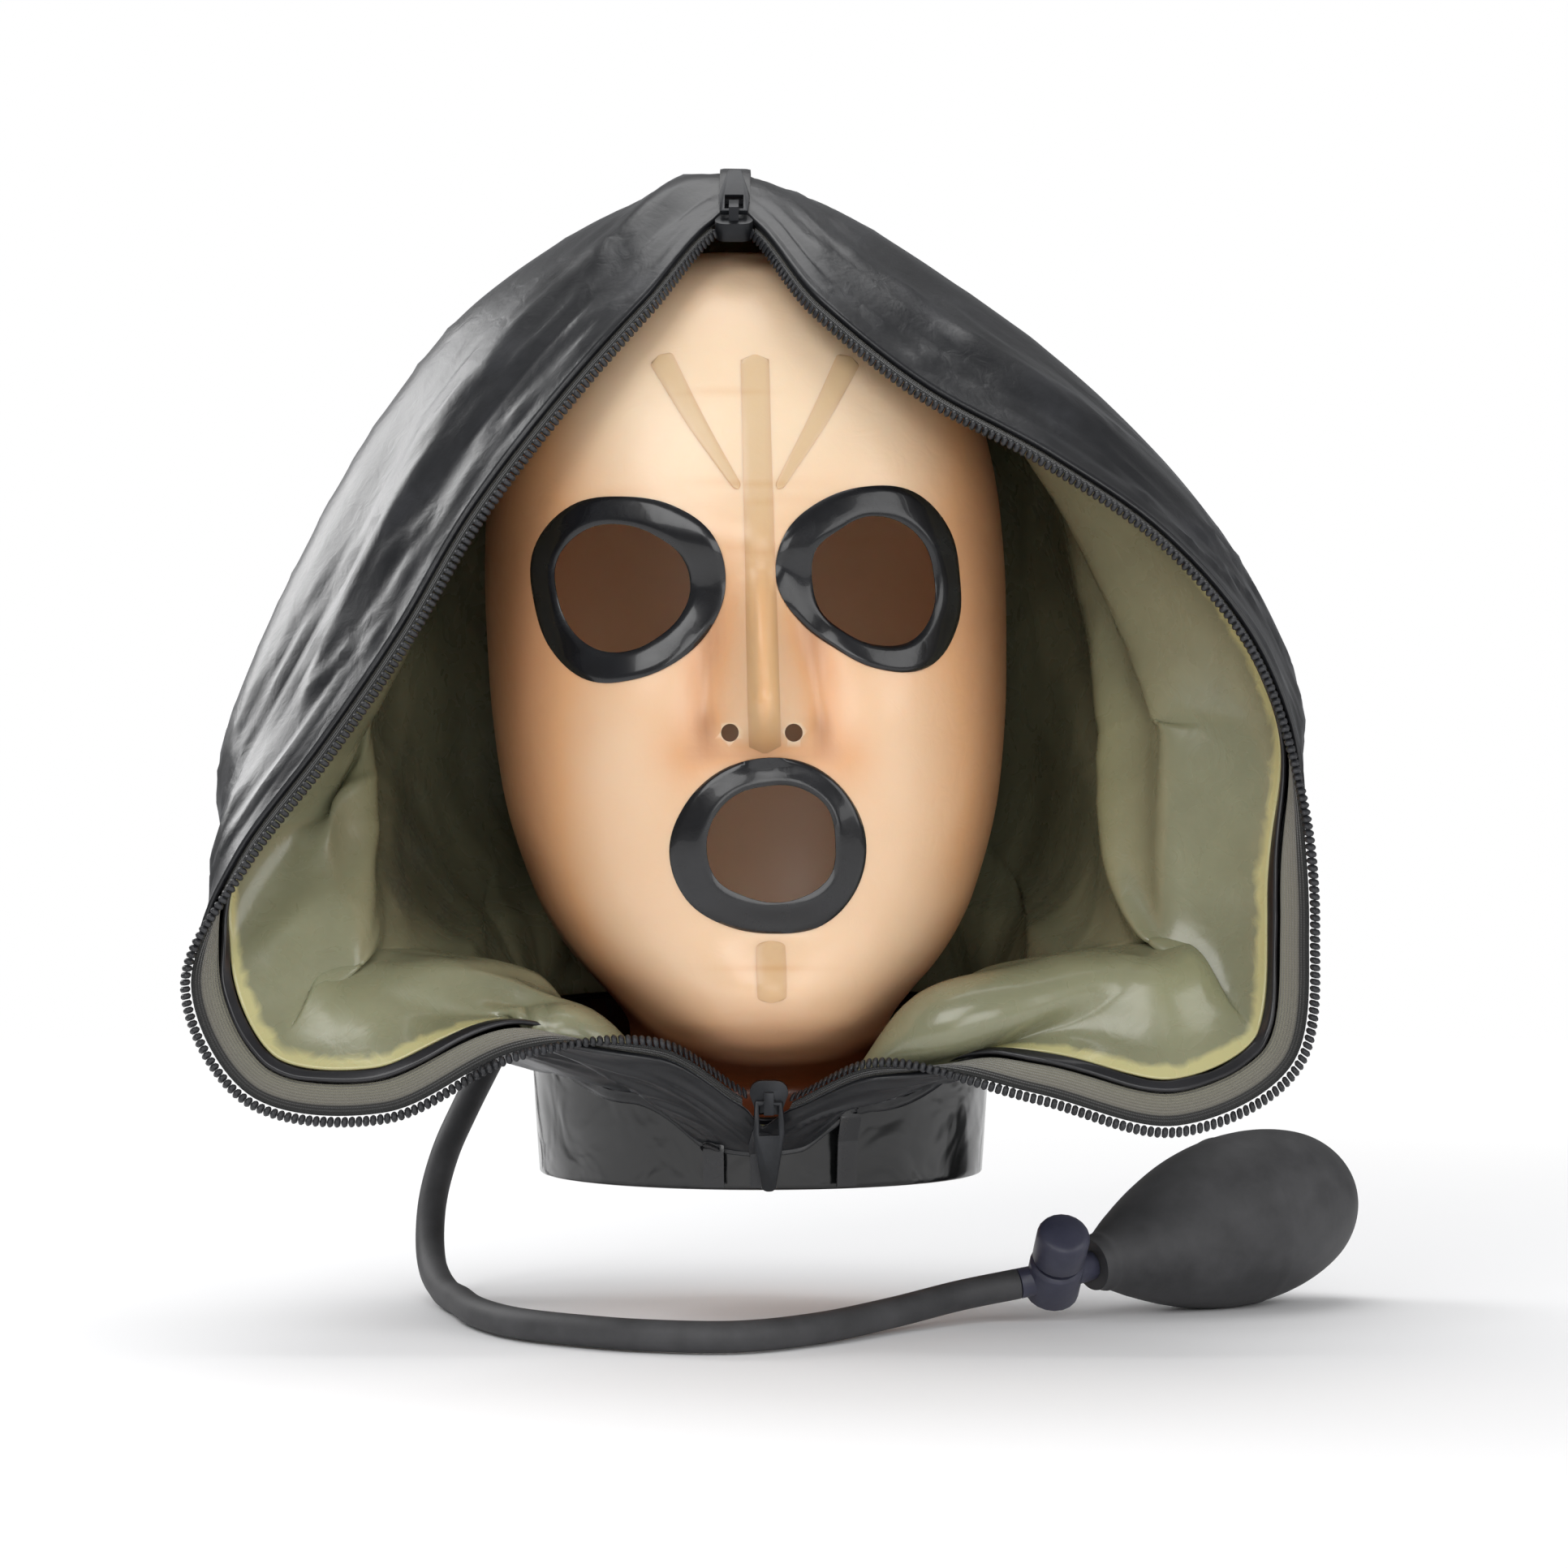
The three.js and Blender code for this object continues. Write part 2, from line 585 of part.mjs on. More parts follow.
function zipTape(from, to) {
  return rimBand(sharesWithin(from, to), 0, TAPE_WIDTH, -TAPE_THICK / 2, TAPE_THICK / 2, false);
}

// The closed edge strip that covers where the lining meets the tape
function edgeStrip() {
  const low = -sheetHalf - LINING_WALL;
  return rimBand(allShares, stripStart, stripStart + STRIP_WIDTH, low, -sheetHalf, true);
}

function roundTube(points, radius, sides, steps) {
  const curve = new THREE.CatmullRomCurve3(points, false, 'centripetal');
  const shape = new THREE.Shape();
  for (let i = 0; i < sides; i += 1) {
    const turn = i / sides * 2 * Math.PI;
    shape[i ? 'lineTo' : 'moveTo'](radius * Math.cos(turn), radius * Math.sin(turn));
  }
  shape.closePath();
  return new THREE.ExtrudeGeometry(shape, { steps, extrudePath: curve, bevelEnabled: false });
}

// The teeth follow the same columns as the tape beside them
const TEETH_SIDES = 6;
function zipTeeth(from, to) {
  const sections = sharesWithin(from, to).map((share) => {
    const centre = wallPoint(share, 0, 0);
    const across = wallPoint(share, 1, 0).sub(centre).normalize();
    const outwards = wallPoint(share, 0, 1).sub(centre).normalize();
    return Array.from({ length: TEETH_SIDES }, (_, i) => {
      const turn = i / TEETH_SIDES * 2 * Math.PI;
      return centre.clone().addScaledVector(across, TEETH_RADIUS * Math.cos(turn))
        .addScaledVector(outwards, TEETH_RADIUS * Math.sin(turn));
    });
  });
  return loft(sections, false);
}

// Strips that run away from the zip line along the wall and on down the collar
function stripSection(share, across, width, low, high) {
  const length = wallLength(share);
  const beside = 0.002;
  const lift = across > length ? 0 : outerLift(share, across / length);
  const neighbour = across > length
    ? collarPoint(share + beside, seamDrop(share) + across - length, low)
    : sheetPoint(share + beside, across / length)
      .addScaledVector(sheetNormal(share + beside, across / length), low + lift);
  const base = wallPoint(share, across, low + lift);
  const top = wallPoint(share, across, high + lift);
  const side = neighbour.sub(base).normalize().multiplyScalar(width / 2);
  return [base.clone().sub(side), base.clone().add(side), top.clone().add(side), top.clone().sub(side)];
}

function runningStrip(share, stations, width, low, high) {
  return loft(stations.map((across) => stripSection(share, across, width, low, high)), false);
}

const outsideFace = sheetHalf + OUTER_WALL + GAP;
const collarRun = (share) => wallLength(share) + COLLAR_BOTTOM - seamDrop(share);
const stripLift = 0.7;

function collarStations(share, from, steps) {
  const onWall = sharesBetween(from, wallLength(share), steps);
  return [...onWall, wallLength(share) + 0.5, collarRun(share) - 0.5];
}

function crownStrip() {
  const from = TAPE_SHOWN_OUTSIDE + tapeStart + sliderRelief(0) + 1;
  return runningStrip(0, sharesBetween(from, CROWN_STRIP_LENGTH, 12), CROWN_STRIP_WIDTH,
    outsideFace + stripLift, outsideFace + stripLift + TRIM_THICK);
}

function placket(share) {
  const from = wallLength(share) - PLACKET_ON_WALL;
  return runningStrip(share, collarStations(share, from, 5), PLACKET_WIDTH,
    outsideFace + stripLift, outsideFace + stripLift + TRIM_THICK);
}

function collarZip() {
  const from = bandPlace(0.5, TAPE_SHOWN_OUTSIDE) + sliderRelief(0.5) + 1;
  return runningStrip(0.5, collarStations(0.5, from, 6), COLLAR_ZIP_WIDTH,
    outsideFace + stripLift, outsideFace + stripLift + TRIM_THICK);
}

function collar() {
  const half = COLLAR_WALL / 2;
  const sections = allShares.map((share) => {
    const top = seamDrop(share) - SEAM_OVERLAP;
    const at = (drop, out) => collarPoint(share, drop, out);
    return [at(top, half), at(COLLAR_BOTTOM, half), at(COLLAR_BOTTOM, -half), at(top, -half)];
  });
  return loft(sections, true);
}

// The mask: stacked sections round a leaning axis, with the face's relief on the front
const crownAxisY = 5;
const maskTop = MASK_WALL;

function maskSection(place) {
  const value = (column) => rowValue(MASK_SECTIONS, column, place, false);
  return {
    drop: value('down') * MASK_HEIGHT - maskTop,
    side: value('side') * MASK_HALF_WIDTH,
    front: value('front') * MASK_DEPTH,
    back: value('back') * MASK_DEPTH,
    axis: value('axis'),
  };
}

// The last section lies against the inside of the collar
function neckSection() {
  const drop = MASK_HEIGHT - maskTop;
  const room = COLLAR_WALL / 2 + GAP + 0.2;
  const radius = collarPoint(0, drop, -room).y - COLLAR_CENTRE_Y;
  return { drop, side: radius, front: radius, back: radius, axis: 1 };
}

const lastRow = MASK_SECTIONS.length - 1;
function sectionAt(place) {
  if (place <= lastRow) return maskSection(place);
  const [above, neck] = [maskSection(lastRow), neckSection()];
  const t = place - lastRow;
  const entries = Object.keys(neck).map((key) => [key, mix(above[key], neck[key], key === 'drop' ? t : softStep(t))]);
  return Object.fromEntries(entries);
}

function faceRelief(sideways, drop) {
  let rise = 0;
  for (const feature of FEATURES) {
    const dx = sideways / MASK_HALF_WIDTH - feature.side;
    const dz = (drop + maskTop) / MASK_HEIGHT - feature.down;
    rise += feature.rise * FEATURE_RISE * Math.exp(-((dx / feature.wide) ** 2) - (dz / feature.tall) ** 2);
  }
  return rise;
}

function maskSurface(turn, place) {
  const section = sectionAt(place);
  const [sine, cosine] = [Math.sin(turn), Math.cos(turn)];
  const depth = cosine > 0 ? section.front : section.back;
  const fuller = 1 + 0.05 * Math.sin(2 * turn) ** 2 * (1 - section.axis);
  const sideways = section.side * sine * fuller;
  const forwards = depth * cosine * fuller;
  const relief = cosine > 0 ? faceRelief(sideways, section.drop) * softStep(cosine * 2) : 0;
  const facing = radians(FACE_TURN) * (1 - section.axis);
  const [x, y] = [sideways, -(forwards + relief)];
  const axisX = mix(MASK_LEAN * section.drop, collarCentreX, section.axis);
  const axisY = mix(crownAxisY, COLLAR_CENTRE_Y, section.axis);
  const turnedX = x * Math.cos(facing) - y * Math.sin(facing);
  const turnedY = x * Math.sin(facing) + y * Math.cos(facing);
  return vec(axisX + turnedX, axisY + turnedY, -section.drop);
}

function maskPoint(turn, place, out) {
  const point = maskSurface(turn, place);
  if (out === 0) return point;
  if (place < 1e-6) return point.setZ(point.z + out);
  const [step, small] = [0.02, 0.05];
  const round = maskSurface(turn + step, place).sub(maskSurface(turn - step, place));
  const low = Math.min(place + small, lastRow + 1);
  const down = maskSurface(turn, low).sub(maskSurface(turn, Math.max(place - small, 0.02)));
  const normal = down.cross(round).normalize();
  return point.addScaledVector(normal, out);
}

// Columns are closer together on the face than at the back
const FACE_COLUMNS = 18;
const BACK_COLUMNS = 9;
function maskTurns() {
  const face = Array.from({ length: FACE_COLUMNS }, (_, i) => mix(-90, 90, i / FACE_COLUMNS));
  const back = Array.from({ length: BACK_COLUMNS }, (_, i) => mix(90, 270, i / BACK_COLUMNS));
  return [...face, ...back].map(radians);
}

const MASK_ROWS = 20;
// The first sheet is the one that faces its neighbour, so both fold along the same lines
function maskShell(first, second) {
  const places = Array.from({ length: MASK_ROWS + 1 }, (_, j) => (lastRow + 1) * j / MASK_ROWS);
  const sections = maskTurns().map((turn) => {
    const near = places.map((place) => maskPoint(turn, place, first));
    const far = places.map((place) => maskPoint(turn, place, second)).reverse();
    return [...near, ...far];
  });
  return solidOf(loft(sections, true));
}

// An upright outline in X and Z, pushed along the line of sight through the front of the mask
function frontPrism(outline) {
  const shape = new THREE.Shape(outline.map(([x, z]) => new THREE.Vector2(x, z)));
  const depth = MASK_DEPTH + FEATURE_RISE;
  const geometry = new THREE.ExtrudeGeometry(shape, { depth, bevelEnabled: false });
  geometry.rotateX(Math.PI / 2);
  geometry.translate(0, -MASK_DEPTH * 0.3, 0);
  return solidOf(geometry);
}

function faceAxisX(drop) {
  return MASK_LEAN * drop + MASK_DEPTH * Math.sin(radians(FACE_TURN));
}

const RING_POINTS = 24;
function ringOutline(centre, reach, column, mirror) {
  const roll = radians(FACE_ROLL);
  return Array.from({ length: RING_POINTS }, (_, i) => {
    const place = i / RING_POINTS * RING_OUTLINES.length;
    const radius = reach * rowValue(RING_OUTLINES, column, place, true);
    const turn = i / RING_POINTS * 2 * Math.PI;
    const [across, up] = [radius * Math.cos(turn) * mirror, radius * Math.sin(turn)];
    return [centre[0] + across * Math.cos(roll) - up * Math.sin(roll),
      centre[1] + across * Math.sin(roll) + up * Math.cos(roll)];
  });
}

function eyeCentre(mirror) {
  const roll = radians(FACE_ROLL);
  const offset = mirror * EYE_SPACING;
  return [faceAxisX(EYE_DROP) + EYE_SHIFT + offset * Math.cos(roll), -EYE_DROP + offset * Math.sin(roll)];
}

const mouthCentre = [faceAxisX(MOUTH_DROP) + MOUTH_SHIFT, -MOUTH_DROP];
const ringPlaces = {
  eye_ring_left: { centre: eyeCentre(-1), reach: EYE_REACH, ring: 'leftEye', hole: 'leftHole', mirror: -1 },
  eye_ring_right: { centre: eyeCentre(1), reach: EYE_REACH, ring: 'rightEye', hole: 'rightHole', mirror: 1 },
  mouth_ring: { centre: mouthCentre, reach: MOUTH_REACH, ring: 'mouth', hole: 'mouthHole', mirror: 1 },
};

// The mask is cut a little wider than the rings that cover its edge
const RING_LAP = 0.4;
function holePrism(place, lap = 0) {
  return frontPrism(ringOutline(place.centre, place.reach + lap, place.hole, place.mirror));
}

const nostrilDrop = MOUTH_DROP - NOSTRIL_ABOVE_MOUTH;
function nostrilPrism(mirror) {
  const x = faceAxisX(nostrilDrop) + NOSTRIL_SHIFT + mirror * NOSTRIL_SPACING;
  const points = 10;
  const outline = Array.from({ length: points }, (_, i) => {
    const turn = i / points * 2 * Math.PI;
    return [x + NOSTRIL_RADIUS * Math.cos(turn), -nostrilDrop + NOSTRIL_RADIUS * Math.sin(turn)];
  });
  return frontPrism(outline);
}

function faceMask() {
  let solid = maskShell(0, -MASK_WALL);
  for (const place of Object.values(ringPlaces)) {
    solid = solid.subtract(holePrism(place, RING_LAP));
  }
  for (const mirror of [-1, 1]) {
    solid = solid.subtract(nostrilPrism(mirror));
  }
  return geometryOf(solid);
}

const ringSheet = maskShell(TRIM_CLEAR, TRIM_CLEAR + RING_THICK);
function faceRing(place) {
  const outline = ringOutline(place.centre, place.reach, place.ring, place.mirror);
  return geometryOf(ringSheet.intersect(frontPrism(outline)).subtract(holePrism(place)));
}

// Overlap seams of the mask, given by their centre lines in sideways and drop millimetres
const seamSheet = maskShell(TRIM_CLEAR, TRIM_CLEAR + TRIM_THICK);
function seamStrip(from, to, widthFrom, widthTo) {
  const a = [faceAxisX(from[1]) + from[0], -from[1]];
  const b = [faceAxisX(to[1]) + to[0], -to[1]];
  const [dx, dz] = [b[0] - a[0], b[1] - a[1]];
  const long = Math.hypot(dx, dz);
  const side = [-dz / long, dx / long];
  const corner = (p, w) => [p[0] + side[0] * w / 2, p[1] + side[1] * w / 2];
  const outline = [corner(a, -widthFrom), corner(b, -widthTo), corner(b, widthTo), corner(a, widthFrom)];
  return geometryOf(seamSheet.intersect(frontPrism(outline)));
}

const ringEdge = 1.2;
const mouthTop = MOUTH_DROP - MOUTH_REACH * 0.92 - ringEdge;
const mouthLow = MOUTH_DROP + MOUTH_REACH * 0.95 + ringEdge;
const foreheadDrop = MASK_HEIGHT * 0.13;

// Zip sliders with their pulls, built lying flat: X across, Y along the zip, Z outwards
const bailSeat = SLIDER_THICK / 2 + 0.1;
const hingeHeight = bailSeat + 1.5;
const hingeAlong = 0.4;
const bailHalf = 1.8;

function boxAt(size, centre) {
  const geometry = new THREE.BoxGeometry(...size);
  geometry.translate(...centre);
  return solidOf(geometry);
}

function sliderBody() {
  const [w, l] = [SLIDER_WIDTH / 2, SLIDER_LENGTH];
  const shape = new THREE.Shape();
  shape.moveTo(-w * 0.62, l * 0.38);
  shape.lineTo(-w, -l * 0.22);
  shape.quadraticCurveTo(-w, -l * 0.6, -w * 0.35, -l * 0.62);
  shape.lineTo(w * 0.35, -l * 0.62);
  shape.quadraticCurveTo(w, -l * 0.6, w, -l * 0.22);
  shape.lineTo(w * 0.62, l * 0.38);
  shape.closePath();
  const body = new THREE.ExtrudeGeometry(shape, { depth: SLIDER_THICK, bevelEnabled: false, curveSegments: 5 });
  body.translate(0, 0, -SLIDER_THICK / 2);
  const width = BAIL_WIRE * 2;
  const top = hingeHeight + 1.1 + BAIL_WIRE;
  const tall = top - bailSeat + 0.4;
  const postAt = (y) => boxAt([width, BAIL_WIRE, tall], [0, y, top - tall / 2]);
  const [front, rear] = [hingeAlong - bailHalf - BAIL_WIRE / 2, hingeAlong + bailHalf + BAIL_WIRE / 2];
  const bar = boxAt([width, rear - front + BAIL_WIRE, BAIL_WIRE], [0, (front + rear) / 2, top - BAIL_WIRE / 2]);
  return geometryOf(solidOf(body).add(postAt(front)).add(postAt(rear)).add(bar));
}

// The pull hangs from its bar at the origin and runs along +Y
function pullTab() {
  const [top, tip] = [PULL_WIDTH / 2, PULL_TIP_WIDTH / 2];
  const start = -PULL_THICK / 2;
  const shape = new THREE.Shape();
  shape.moveTo(-top * 0.9, start);
  shape.lineTo(-top, PULL_LENGTH * 0.36);
  shape.lineTo(-tip, PULL_LENGTH - tip);
  shape.quadraticCurveTo(-tip, PULL_LENGTH, 0, PULL_LENGTH);
  shape.quadraticCurveTo(tip, PULL_LENGTH, tip, PULL_LENGTH - tip);
  shape.lineTo(top, PULL_LENGTH * 0.36);
  shape.lineTo(top * 0.9, start);
  shape.closePath();
  const [half, near, far] = [PULL_WIDTH * 0.3, PULL_THICK / 2, PULL_LENGTH * 0.36];
  const window = new THREE.Path();
  window.moveTo(-half, near);
  window.lineTo(half, near);
  window.lineTo(half, far);
  window.lineTo(-half, far);
  window.closePath();
  shape.holes.push(window);
  const geometry = new THREE.ExtrudeGeometry(shape, { depth: PULL_THICK, bevelEnabled: false, curveSegments: 6 });
  geometry.translate(0, 0, -PULL_THICK / 2);
  return geometry;
}

// Frames: where each slider sits on the zip line
function frameAt(origin, along, outwards) {
  const y = along.clone().normalize();
  const z = outwards.clone().addScaledVector(y, -outwards.dot(y)).normalize();
  const x = y.clone().cross(z);
  return new THREE.Matrix4().makeBasis(x, y, z).setPosition(origin);
}

// Direction in which a pull lying back over the crown just clears the strip below it
function crownLie() {
  const height = outsideFace + stripLift + TRIM_THICK + GAP + PULL_THICK / 2;
  let best = vec(0, 1, -1);
  for (const across of sharesBetween(PULL_LENGTH * 0.3, PULL_LENGTH * 1.1, 12)) {
    const reach = wallPoint(0, across, height).sub(upperHinge);
    reach.x = 0;
    if (reach.z / reach.y > best.z / best.y) best = reach;
  }
  return best;
}

const crownAlong = sheetPoint(0, 0.03).sub(sheetPoint(0, 0));
crownAlong.x = 0;
const upperFrame = frameAt(rimCurve.getPoint(0), crownAlong, vec(0, -0.4, 1));
const lowerFrame = frameAt(rimCurve.getPoint(0.5), vec(0, 0, -1), vec(0, -1, 0));
const hingeIn = (frame) => vec(0, hingeAlong, hingeHeight).applyMatrix4(frame);
const upperHinge = hingeIn(upperFrame);
const lowerHinge = hingeIn(lowerFrame);
const upperPullFrame = frameAt(upperHinge, crownLie(), vec(0, -0.4, 1));
const lowerPullFrame = frameAt(lowerHinge, vec(0, 0, -1), vec(0, -1, 0));

// Air line

function latheBody(profile, segments) {
  const points = profile.map(([radius, along]) => new THREE.Vector2(radius, along));
  return new THREE.LatheGeometry(points, segments);
}

const inletShare = 0.16;
const inletWay = 0.85;
const facetRise = 1.15;
const inletNormal = sheetNormal(inletShare, inletWay);
const inletSeat = wallPoint(inletShare, inletWay * wallLength(inletShare),
  sheetHalf + OUTER_WALL + outerLift(inletShare, inletWay) + GAP + facetRise);

function inletFlange() {
  const bore = HOSE_RADIUS + 1;
  return latheBody([[0, 0], [FLANGE_RADIUS, 0], [FLANGE_RADIUS, 1.6], [bore + 2, 2.8],
    [bore + 1, NOZZLE_LENGTH], [0, NOZZLE_LENGTH]], 20);
}

const turnUp = (axis) => new THREE.Quaternion().setFromUnitVectors(vec(0, 1, 0), axis.clone().normalize());
const hoseStart = inletSeat.clone().addScaledVector(inletNormal, NOZZLE_LENGTH + GAP);
const valveAxis = vec(...VALVE_AXIS).normalize();
const bulbAxis = vec(...BULB_AXIS).normalize();
const bulbNeck = vec(...BULB_NECK);
const spigotReach = VALVE_RADIUS + 6;
const valveMiddle = bulbNeck.clone().addScaledVector(bulbAxis, -spigotReach - GAP);
const valveBase = valveMiddle.clone().addScaledVector(valveAxis, -VALVE_BARREL / 2);
const valveTop = valveMiddle.clone().addScaledVector(valveAxis, VALVE_BARREL / 2);

function hoseTube() {
  const chosen = HOSE_ROUTE.map((p) => vec(...p));
  const lead = hoseStart.clone().addScaledVector(inletNormal, HOSE_RADIUS * 2);
  const last = chosen[chosen.length - 1];
  const towards = valveMiddle.clone().sub(last).normalize();
  const end = valveMiddle.clone().addScaledVector(towards, -(VALVE_RADIUS + 3 + GAP));
  return roundTube([hoseStart, lead, ...chosen, end], HOSE_RADIUS, 8, 36);
}

// The barrel with its hose spigot, its bulb spigot and the stem that guides the button
function valveBody() {
  const chamfer = 1;
  const stemTop = VALVE_BARREL + BUTTON_TRAVEL + GAP + STEM_ENGAGED;
  const barrel = latheBody([[0, 0], [VALVE_RADIUS - chamfer, 0], [VALVE_RADIUS, chamfer],
    [VALVE_RADIUS, VALVE_BARREL - chamfer], [VALVE_RADIUS - chamfer, VALVE_BARREL],
    [STEM_RADIUS, VALVE_BARREL], [STEM_RADIUS, stemTop], [0, stemTop]], 20);
  barrel.applyQuaternion(turnUp(valveAxis));
  barrel.translate(...valveBase.toArray());
  const spigot = (direction, reach) => {
    const geometry = latheBody([[0, 0], [HOSE_RADIUS, 0], [HOSE_RADIUS, reach], [0, reach]], 16);
    geometry.applyQuaternion(turnUp(direction));
    geometry.translate(...valveMiddle.toArray());
    return solidOf(geometry);
  };
  const toHose = vec(...HOSE_ROUTE[HOSE_ROUTE.length - 1]).sub(valveMiddle);
  return geometryOf(solidOf(barrel).add(spigot(toHose, VALVE_RADIUS + 3)).add(spigot(bulbAxis, spigotReach)));
}

function valveButton() {
  const round = 2;
  const bore = STEM_ENGAGED + BUTTON_TRAVEL + GAP;
  return latheBody([[0, bore], [STEM_RADIUS + GAP, bore], [STEM_RADIUS + GAP, 0], [VALVE_RADIUS - 0.3, 0], [VALVE_RADIUS - 0.3, BUTTON_LENGTH - round],
    [VALVE_RADIUS - 0.9, BUTTON_LENGTH - round * 0.35], [VALVE_RADIUS - 2.4, BUTTON_LENGTH],
    [0, BUTTON_LENGTH]], 20);
}

// Profile of the squeeze bulb from its neck to its end, shares of its radius and length
const BULB_PROFILE = [
  { radius: 0.3, along: 0.0 },
  { radius: 0.34, along: 0.05 },
  { radius: 0.52, along: 0.14 },
  { radius: 0.74, along: 0.27 },
  { radius: 0.92, along: 0.42 },
  { radius: 1.0, along: 0.58 },
  { radius: 0.96, along: 0.74 },
  { radius: 0.8, along: 0.88 },
  { radius: 0.54, along: 0.97 },
  { radius: 0.28, along: 1.0 },
];

function pumpBulb() {
  const wall = BULB_PROFILE.map((row) => [row.radius * BULB_RADIUS, row.along * BULB_LENGTH]);
  return latheBody([[0, 0], ...wall, [0, BULB_LENGTH]], 24);
}

function bulbCap() {
  return latheBody([[0, 0], [BULB_CAP_RADIUS, 0], [BULB_CAP_RADIUS, 2.4], [BULB_CAP_RADIUS - 1.2, 3.4],
    [0, 3.4]], 18);
}

// Assembly
const MATERIALS = {
  blackLatex: { color: 0x3a3b3f, roughness: 0.42, metalness: 0 },
  smokyLatex: { color: 0x7d7d5e, roughness: 0.35, metalness: 0 },
  naturalLatex: { color: 0xe6bf98, roughness: 0.38, metalness: 0 },
  amberLatex: { color: 0xe0b883, roughness: 0.35, metalness: 0 },
  glossyLatex: { color: 0x16171b, roughness: 0.12, metalness: 0 },
  zipTape: { color: 0x55534a, roughness: 0.9, metalness: 0 },
  zipPlastic: { color: 0x222326, roughness: 0.5, metalness: 0 },
  blackMetal: { color: 0x1b1c20, roughness: 0.35, metalness: 0.6 },
  rubber: { color: 0x343437, roughness: 0.65, metalness: 0 },
  valvePlastic: { color: 0x36384a, roughness: 0.5, metalness: 0 },
};

const mask = new THREE.Group();

function addPiece(name, geometry, finish) {
  const piece = new THREE.Mesh(geometry, new THREE.MeshStandardMaterial(MATERIALS[finish]));
  piece.name = name;
  mask.add(piece);
  return piece;
}

function addFramed(name, geometry, finish, frame) {
  addPiece(name, geometry, finish).applyMatrix4(frame);
}

function addTurned(name, geometry, finish, place, axis) {
  const piece = addPiece(name, geometry, finish);
  piece.position.copy(place);
  piece.quaternion.copy(turnUp(axis));
}

addPiece('outer_shell', outerShell(), 'blackLatex');
addPiece('inner_lining', innerLining(), 'smokyLatex');
addPiece('lining_edge_strip', edgeStrip(), 'glossyLatex');
addPiece('zip_tape_left', zipTape(SLIDER_ROOM, 0.5 - SLIDER_ROOM), 'zipTape');
addPiece('zip_tape_right', zipTape(0.5 + SLIDER_ROOM, 1 - SLIDER_ROOM), 'zipTape');
addPiece('zip_teeth_left', zipTeeth(SLIDER_ROOM, 0.5 - SLIDER_ROOM), 'zipPlastic');
addPiece('zip_teeth_right', zipTeeth(0.5 + SLIDER_ROOM, 1 - SLIDER_ROOM), 'zipPlastic');
addPiece('crown_seam_strip', crownStrip(), 'blackLatex');

addPiece('face_mask', faceMask(), 'naturalLatex');
for (const [name, place] of Object.entries(ringPlaces)) {
  addPiece(name, faceRing(place), 'glossyLatex');
}
addPiece('mask_seam_centre', seamStrip([0, foreheadDrop], [0, mouthTop], SEAM_STRIP_WIDTH, SEAM_STRIP_WIDTH),
  'amberLatex');
addPiece('mask_seam_chin', seamStrip([0, mouthLow], [0, mouthLow + CHIN_SEAM_LENGTH], SEAM_STRIP_WIDTH, SEAM_STRIP_WIDTH),
  'amberLatex');
for (const [name, mirror] of [['mask_seam_brow_left', -1], ['mask_seam_brow_right', 1]]) {
  const start = [mirror * MASK_HALF_WIDTH * 0.35, foreheadDrop];
  const end = [mirror * (SEAM_STRIP_WIDTH / 2 + 1.5), foreheadDrop + BROW_SEAM_LENGTH];
  addPiece(name, seamStrip(start, end, SEAM_STRIP_WIDTH * 0.9, SEAM_STRIP_WIDTH * 0.3), 'amberLatex');
}

addPiece('collar', collar(), 'glossyLatex');
addPiece('collar_placket_left', placket(0.47), 'glossyLatex');
addPiece('collar_placket_right', placket(0.558), 'glossyLatex');
addPiece('collar_zip', collarZip(), 'zipPlastic');

addFramed('upper_slider', sliderBody(), 'blackMetal', upperFrame);
addFramed('upper_pull', pullTab(), 'blackMetal', upperPullFrame);
addFramed('lower_slider', sliderBody(), 'blackMetal', lowerFrame);
addFramed('lower_pull', pullTab(), 'blackMetal', lowerPullFrame);

addTurned('inlet_flange', inletFlange(), 'rubber', inletSeat, inletNormal);
addPiece('hose', hoseTube(), 'rubber');
addPiece('valve_body', valveBody(), 'valvePlastic');
addTurned('valve_button', valveButton(), 'valvePlastic',
  valveTop.clone().addScaledVector(valveAxis, BUTTON_TRAVEL + GAP), valveAxis);
addTurned('pump_bulb', pumpBulb(), 'rubber', bulbNeck, bulbAxis);
addTurned('bulb_end_cap', bulbCap(), 'rubber',
  bulbNeck.clone().addScaledVector(bulbAxis, BULB_LENGTH + GAP), bulbAxis);

export default mask;
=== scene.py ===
import math
import bpy
import numpy as np
from mathutils import Matrix, Vector, noise
from mathutils.bvhtree import BVHTree


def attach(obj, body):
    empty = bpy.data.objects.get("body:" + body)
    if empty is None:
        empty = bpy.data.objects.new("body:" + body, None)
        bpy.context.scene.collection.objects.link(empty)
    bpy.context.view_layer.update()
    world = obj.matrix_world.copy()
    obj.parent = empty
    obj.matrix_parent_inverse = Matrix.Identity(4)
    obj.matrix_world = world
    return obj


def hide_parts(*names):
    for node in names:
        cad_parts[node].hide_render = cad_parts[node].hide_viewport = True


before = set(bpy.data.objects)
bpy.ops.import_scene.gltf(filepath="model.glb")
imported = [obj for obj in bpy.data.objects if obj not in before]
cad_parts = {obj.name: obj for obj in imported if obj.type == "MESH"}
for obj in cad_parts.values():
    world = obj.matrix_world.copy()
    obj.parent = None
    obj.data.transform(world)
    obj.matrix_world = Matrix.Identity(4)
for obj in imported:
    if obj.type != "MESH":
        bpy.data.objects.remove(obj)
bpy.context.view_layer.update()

bpy.ops.object.select_all(action='DESELECT')
bpy.context.view_layer.objects.active = None
print("frame loaded")

mm = 0.001  # sizes below are millimetres in the row frame

